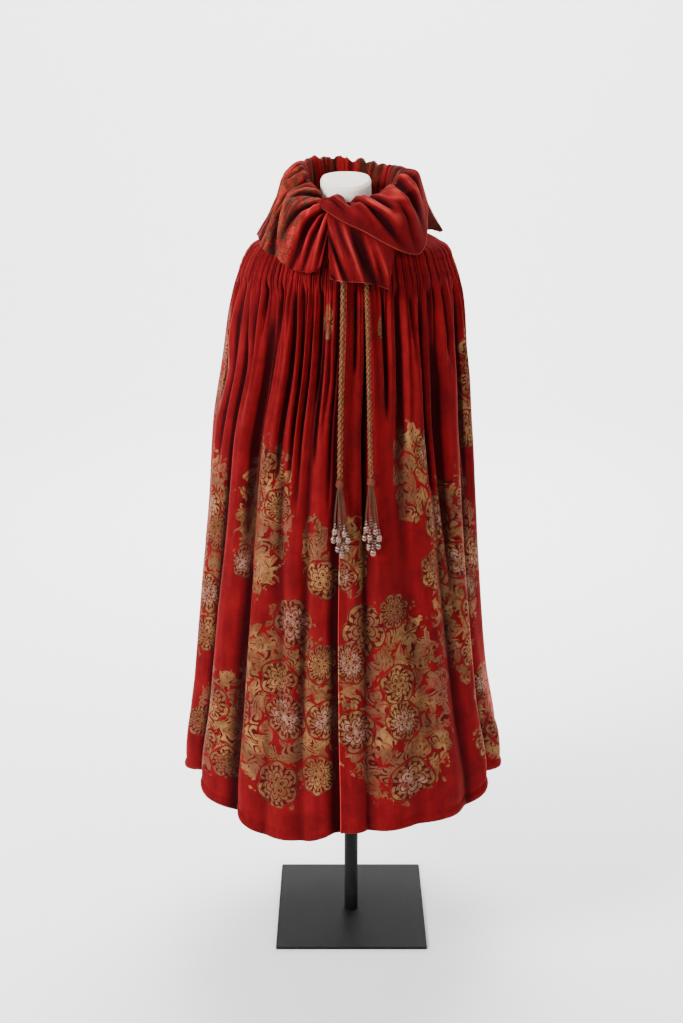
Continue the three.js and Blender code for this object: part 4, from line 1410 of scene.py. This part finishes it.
def pole_rings():
    """The pole from its top to the plate, with bevelled ends."""
    radius, top, foot = POLE["radius"], POLE["top"], PLATE["thick"] + SEAM
    profile = [(radius - STEEL_BEVEL, top), (radius, top - STEEL_BEVEL)]
    profile += [(radius, height) for height in np.linspace(top - 40, foot + 40, 20)]
    profile += [(radius, foot + STEEL_BEVEL), (radius - STEEL_BEVEL, foot)]
    return circles(profile, POLE["sides"])


def plate_rings():
    """The base plate's outlines from top to bottom: a square with rounded corners, each a quarter
    circle about its own centre, smaller at the top and the bottom by the bevel."""
    thick, corner = PLATE["thick"], PLATE["corner"]
    reach = PLATE["side"] / 2 - corner
    across, deep = np.array([[1, 1, -1, -1], [-1, 1, 1, -1]])[..., None] * reach
    angle = np.radians(np.linspace(0, 90, 7)) + np.radians([[-90], [0], [90], [180]])
    rings = []
    for inset, height in (
        (STEEL_BEVEL, thick),
        (0, thick - STEEL_BEVEL),
        (0, STEEL_BEVEL),
        (STEEL_BEVEL, 0),
    ):
        x = across + (corner - inset) * np.cos(angle)
        y = deep + (corner - inset) * np.sin(angle) + PLATE["back"]
        rings.append(np.stack([x, y, np.full(x.shape, float(height))], -1).reshape(-1, 3))
    return np.array(rings)


# The add-on's settings, steps and panel.


def colour_property(name, description, default):
    """A colour with its name, description and default."""
    return bpy.props.FloatVectorProperty(
        name=name,
        description=description,
        default=(*default, 1.0),
        size=4,
        subtype="COLOR",
        min=0.0,
        max=1.0,
    )


class CloakSettings(bpy.types.PropertyGroup):
    """Colours and camera that a user would change."""

    velvet_colour: colour_property("Velvet", "The velvet's crimson", (0.138, 0.0046, 0.0064))
    gold_colour: colour_property("Stencil", "The stencil's gold", (0.3, 0.15, 0.055))
    pale_colour: colour_property("Pale metal", "The stencil's pinkish silver", (0.32, 0.185, 0.135))
    form_colour: colour_property("Form", "The dress form's cover", (0.82, 0.77, 0.68))
    stage_colour: colour_property("Stage", "Floor and backdrop", (0.92, 0.92, 0.92))
    lens: bpy.props.FloatProperty(
        name="Lens", description="The camera's focal length", default=47.5, min=10, unit="CAMERA"
    )


def ready(obj, slot, *nodes):
    """The piece rides on the part and hides the CAD nodes that it stands for. The slot is not used."""
    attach(obj, "root")
    if nodes:
        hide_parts(*nodes)
    return obj


class CLOAK_OT_stage(bpy.types.Operator):
    """Set the camera, the lights, and a round pale floor that curves up into the backdrop."""

    bl_idname = "cloak.stage"
    bl_label = "Stage"

    def execute(self, context):
        settings = context.scene.cloak
        camera = bpy.data.objects.new("camera", bpy.data.cameras.new("camera"))
        context.scene.collection.objects.link(camera)
        camera.data.lens = settings.lens
        camera.data.sensor_width = CAMERA["film"]
        camera.data.clip_end = CAMERA["far"]
        camera.location = CAMERA["place"]
        camera.rotation_euler = (math.radians(CAMERA["pitch"]), 0, 0)
        context.scene.camera = camera

        grid = floor_grid()
        index = np.arange(grid[..., 0].size).reshape(grid.shape[:2])
        faces = quads_between(index[1:], index[:-1])
        paper = floor_finish("stage_paper", settings)
        floor = mesh_object("stage_floor", grid.reshape(-1, 3), faces, [paper])

        for name, place, aim, size, energy in LAMPS:
            lamp = bpy.data.lights.new(name, "AREA")
            lamp.size, lamp.energy = size, energy
            light = bpy.data.objects.new(name, lamp)
            context.scene.collection.objects.link(light)
            way = np.array(aim) - np.array(place)
            light.location = place
            flat = math.hypot(way[0], way[1])
            light.rotation_euler = (
                math.atan2(flat, -way[2]),
                0,
                math.atan2(way[1], way[0]) - math.pi / 2,
            )
        world = bpy.data.worlds.new("world")
        world.use_nodes = True
        background = world.node_tree.nodes["Background"].inputs
        background["Color"].default_value = (1, 1, 1, 1)
        background["Strength"].default_value = WORLD_STRENGTH
        context.scene.world = world
        return {"FINISHED"}


class CLOAK_OT_cords(bpy.types.Operator):
    """Plait the two cords along their routes, and tie on the knots, strands and beads."""

    bl_idname = "cloak.cords"
    bl_label = "Cords and Tassels"

    def execute(self, context):
        gold = silk("cord_gold_silk", (0.17, 0.072, 0.018))
        clay = silk("cord_terracotta_silk", (0.12, 0.02, 0.006))
        thread = silk("tassel_thread_silk", (0.075, 0.026, 0.009))
        glass = glass_bead("bead_glass")
        for side, (radius, route) in CORDS.items():
            radius *= CORD_SHARE
            path = cord_path(route, CORD_STEPS)
            points, faces, kinds = braid(path, radius)
            cord = mesh_object(f"cord_{side}_plait", points, faces, [gold, clay], kinds=kinds)
            ready(cord, "cord", f"cord_{side}")
            tassel = self.tassel(side, path, clay, thread, glass)
        return {"FINISHED"}

    def tassel(self, side, path, silk_finish, thread, glass):
        """The knot, the strands under it, and a large and two small beads on each strand."""
        way = path[-1] - path[-3]
        up = -way / np.linalg.norm(way)
        top = path[-1] - up * SEAM
        t = np.linspace(0, 1, 13)
        swell = 0.45 + 0.55 * np.sin(np.pi * (0.08 + 0.84 * t)) ** 0.8
        profile = np.stack([KNOT_RADIUS * swell, -KNOT_HEIGHT * t], -1)
        tied = placed_profile(profile, 28, top, up, 0.09, 4)
        knot = mesh_object(f"knot_{side}", *tied, [silk_finish])
        ready(knot, "cord", f"tassel_{side}")
        down = np.array(TASSEL_WAY)
        down /= np.linalg.norm(down)
        root = top - up * KNOT_HEIGHT * 0.7
        strands, beads = [], []
        for strand_side, out, drop in zip(*STRANDS.values()):
            away = np.array([strand_side * 0.74, -out, 0.0])
            tip = root + down * drop + away
            spread = root + down * drop * 0.5 + away * 0.85
            s = np.linspace(0, 1, 14)[:, None]
            line = (1 - s) ** 2 * (root + away * 0.2) + 2 * s * (1 - s) * spread + s * s * tip
            strands.append(tube(line, 0.8, 6))
            bead_top = tip - down * BEADS[0][1] * 0.2
            for radius, height, up_by, rounds, sides in BEADS:
                bead = barrel(radius, height, rounds)
                beads.append(placed_profile(bead, sides, bead_top - down * up_by, -down))
        threads = mesh_object(f"strands_{side}", *joined(strands)[:2], [thread])
        ready(threads, "cord")
        glassware = mesh_object(f"beads_{side}", *joined(beads)[:2], [glass])
        ready(glassware, "tassel")
        return [knot, threads, glassware]


class CLOAK_OT_panels(bpy.types.Operator):
    """Cut and gather the cloak's three panels."""

    bl_idname = "cloak.panels"
    bl_label = "Cloak Panels"

    def execute(self, context):
        ovals = panel_ovals()
        finish = velvet("stencilled_velvet", context.scene.cloak, RIDGE_HIGHLIGHT, ovals)
        for name, start, end in PANELS:
            grids = cloak_grid(start, end)
            panel = ready(cloth_object(name + "_velvet", grids, finish, ovals), "velvet", name)
        return {"FINISHED"}


class CLOAK_OT_collar(bpy.types.Operator):
    """Wrap the ruched collar round the neck, cross its end over and let it hang."""

    bl_idname = "cloak.collar"
    bl_label = "Collar"

    def execute(self, context):
        settings = context.scene.cloak
        plain = velvet("plain_velvet", settings, RIDGE_HIGHLIGHT, edge=True)
        patched = velvet(
            "patched_velvet", settings, RUFF_RIDGE_HIGHLIGHT, RUFF_PATCHES, RUFF_SPACING, RUFF_METAL
        )
        ruff = ruff_grid()
        swath = swath_grid()
        hanging = hanging_grid(swath[1])
        for name, grids, held, finish, ovals in (
            ("collar_ruff", ruff, "gathered", patched, RUFF_PATCHES),
            ("collar_end_over", swath, "draped", plain, ()),
            ("collar_end_hanging", hanging, "hung", plain, ()),
        ):
            piece = cloth_object(name + "_velvet", grids, finish, ovals)
            ready(piece, "collar_velvet", name)
        return {"FINISHED"}


class CLOAK_OT_stand(bpy.types.Operator):
    """Round the dress form, its pole and the base plate."""

    bl_idname = "cloak.stand"
    bl_label = "Dress Form and Stand"

    def execute(self, context):
        canvas = cover_cloth("form_canvas", context.scene.cloak)
        form = mesh_object("dress_form_cover", *closed_rings(form_rings()), [canvas])
        ready(form, "form_cover", "dress_form")
        steel = black_steel("black_steel")
        pole = mesh_object("pole_steel", *closed_rings(pole_rings()), [steel])
        ready(pole, "black_steel", "pole")
        plate = mesh_object("base_plate_steel", *closed_rings(plate_rings()), [steel])
        plate.data.polygons.foreach_set("use_smooth", np.zeros(len(plate.data.polygons), bool))
        ready(plate, "black_steel", "base_plate")
        return {"FINISHED"}


class CLOAK_PT_panel(bpy.types.Panel):
    """The cloak's steps, in order."""

    bl_label = "Velvet Cloak"
    bl_idname = "CLOAK_PT_panel"
    bl_space_type = "VIEW_3D"
    bl_region_type = "UI"
    bl_category = "Cloak"

    def draw(self, context):
        for name in CloakSettings.__annotations__:
            self.layout.prop(context.scene.cloak, name)
        for step in STEPS:
            self.layout.operator(step.bl_idname)


STEPS = (CLOAK_OT_stage, CLOAK_OT_cords, CLOAK_OT_panels, CLOAK_OT_collar, CLOAK_OT_stand)
CLASSES = (CloakSettings, *STEPS, CLOAK_PT_panel)


def register():
    """Adds the classes and the scene's settings."""
    for cls in CLASSES:
        bpy.utils.register_class(cls)
    bpy.types.Scene.cloak = bpy.props.PointerProperty(type=CloakSettings)


def unregister():
    """Takes them away again."""
    del bpy.types.Scene.cloak
    for cls in reversed(CLASSES):
        bpy.utils.unregister_class(cls)


def main():
    """Builds the cloak step by step."""
    register()
    bpy.ops.cloak.stage()
    bpy.ops.cloak.cords()
    bpy.ops.cloak.panels()
    bpy.ops.cloak.collar()
    bpy.ops.cloak.stand()


if __name__ == "__main__":
    main()
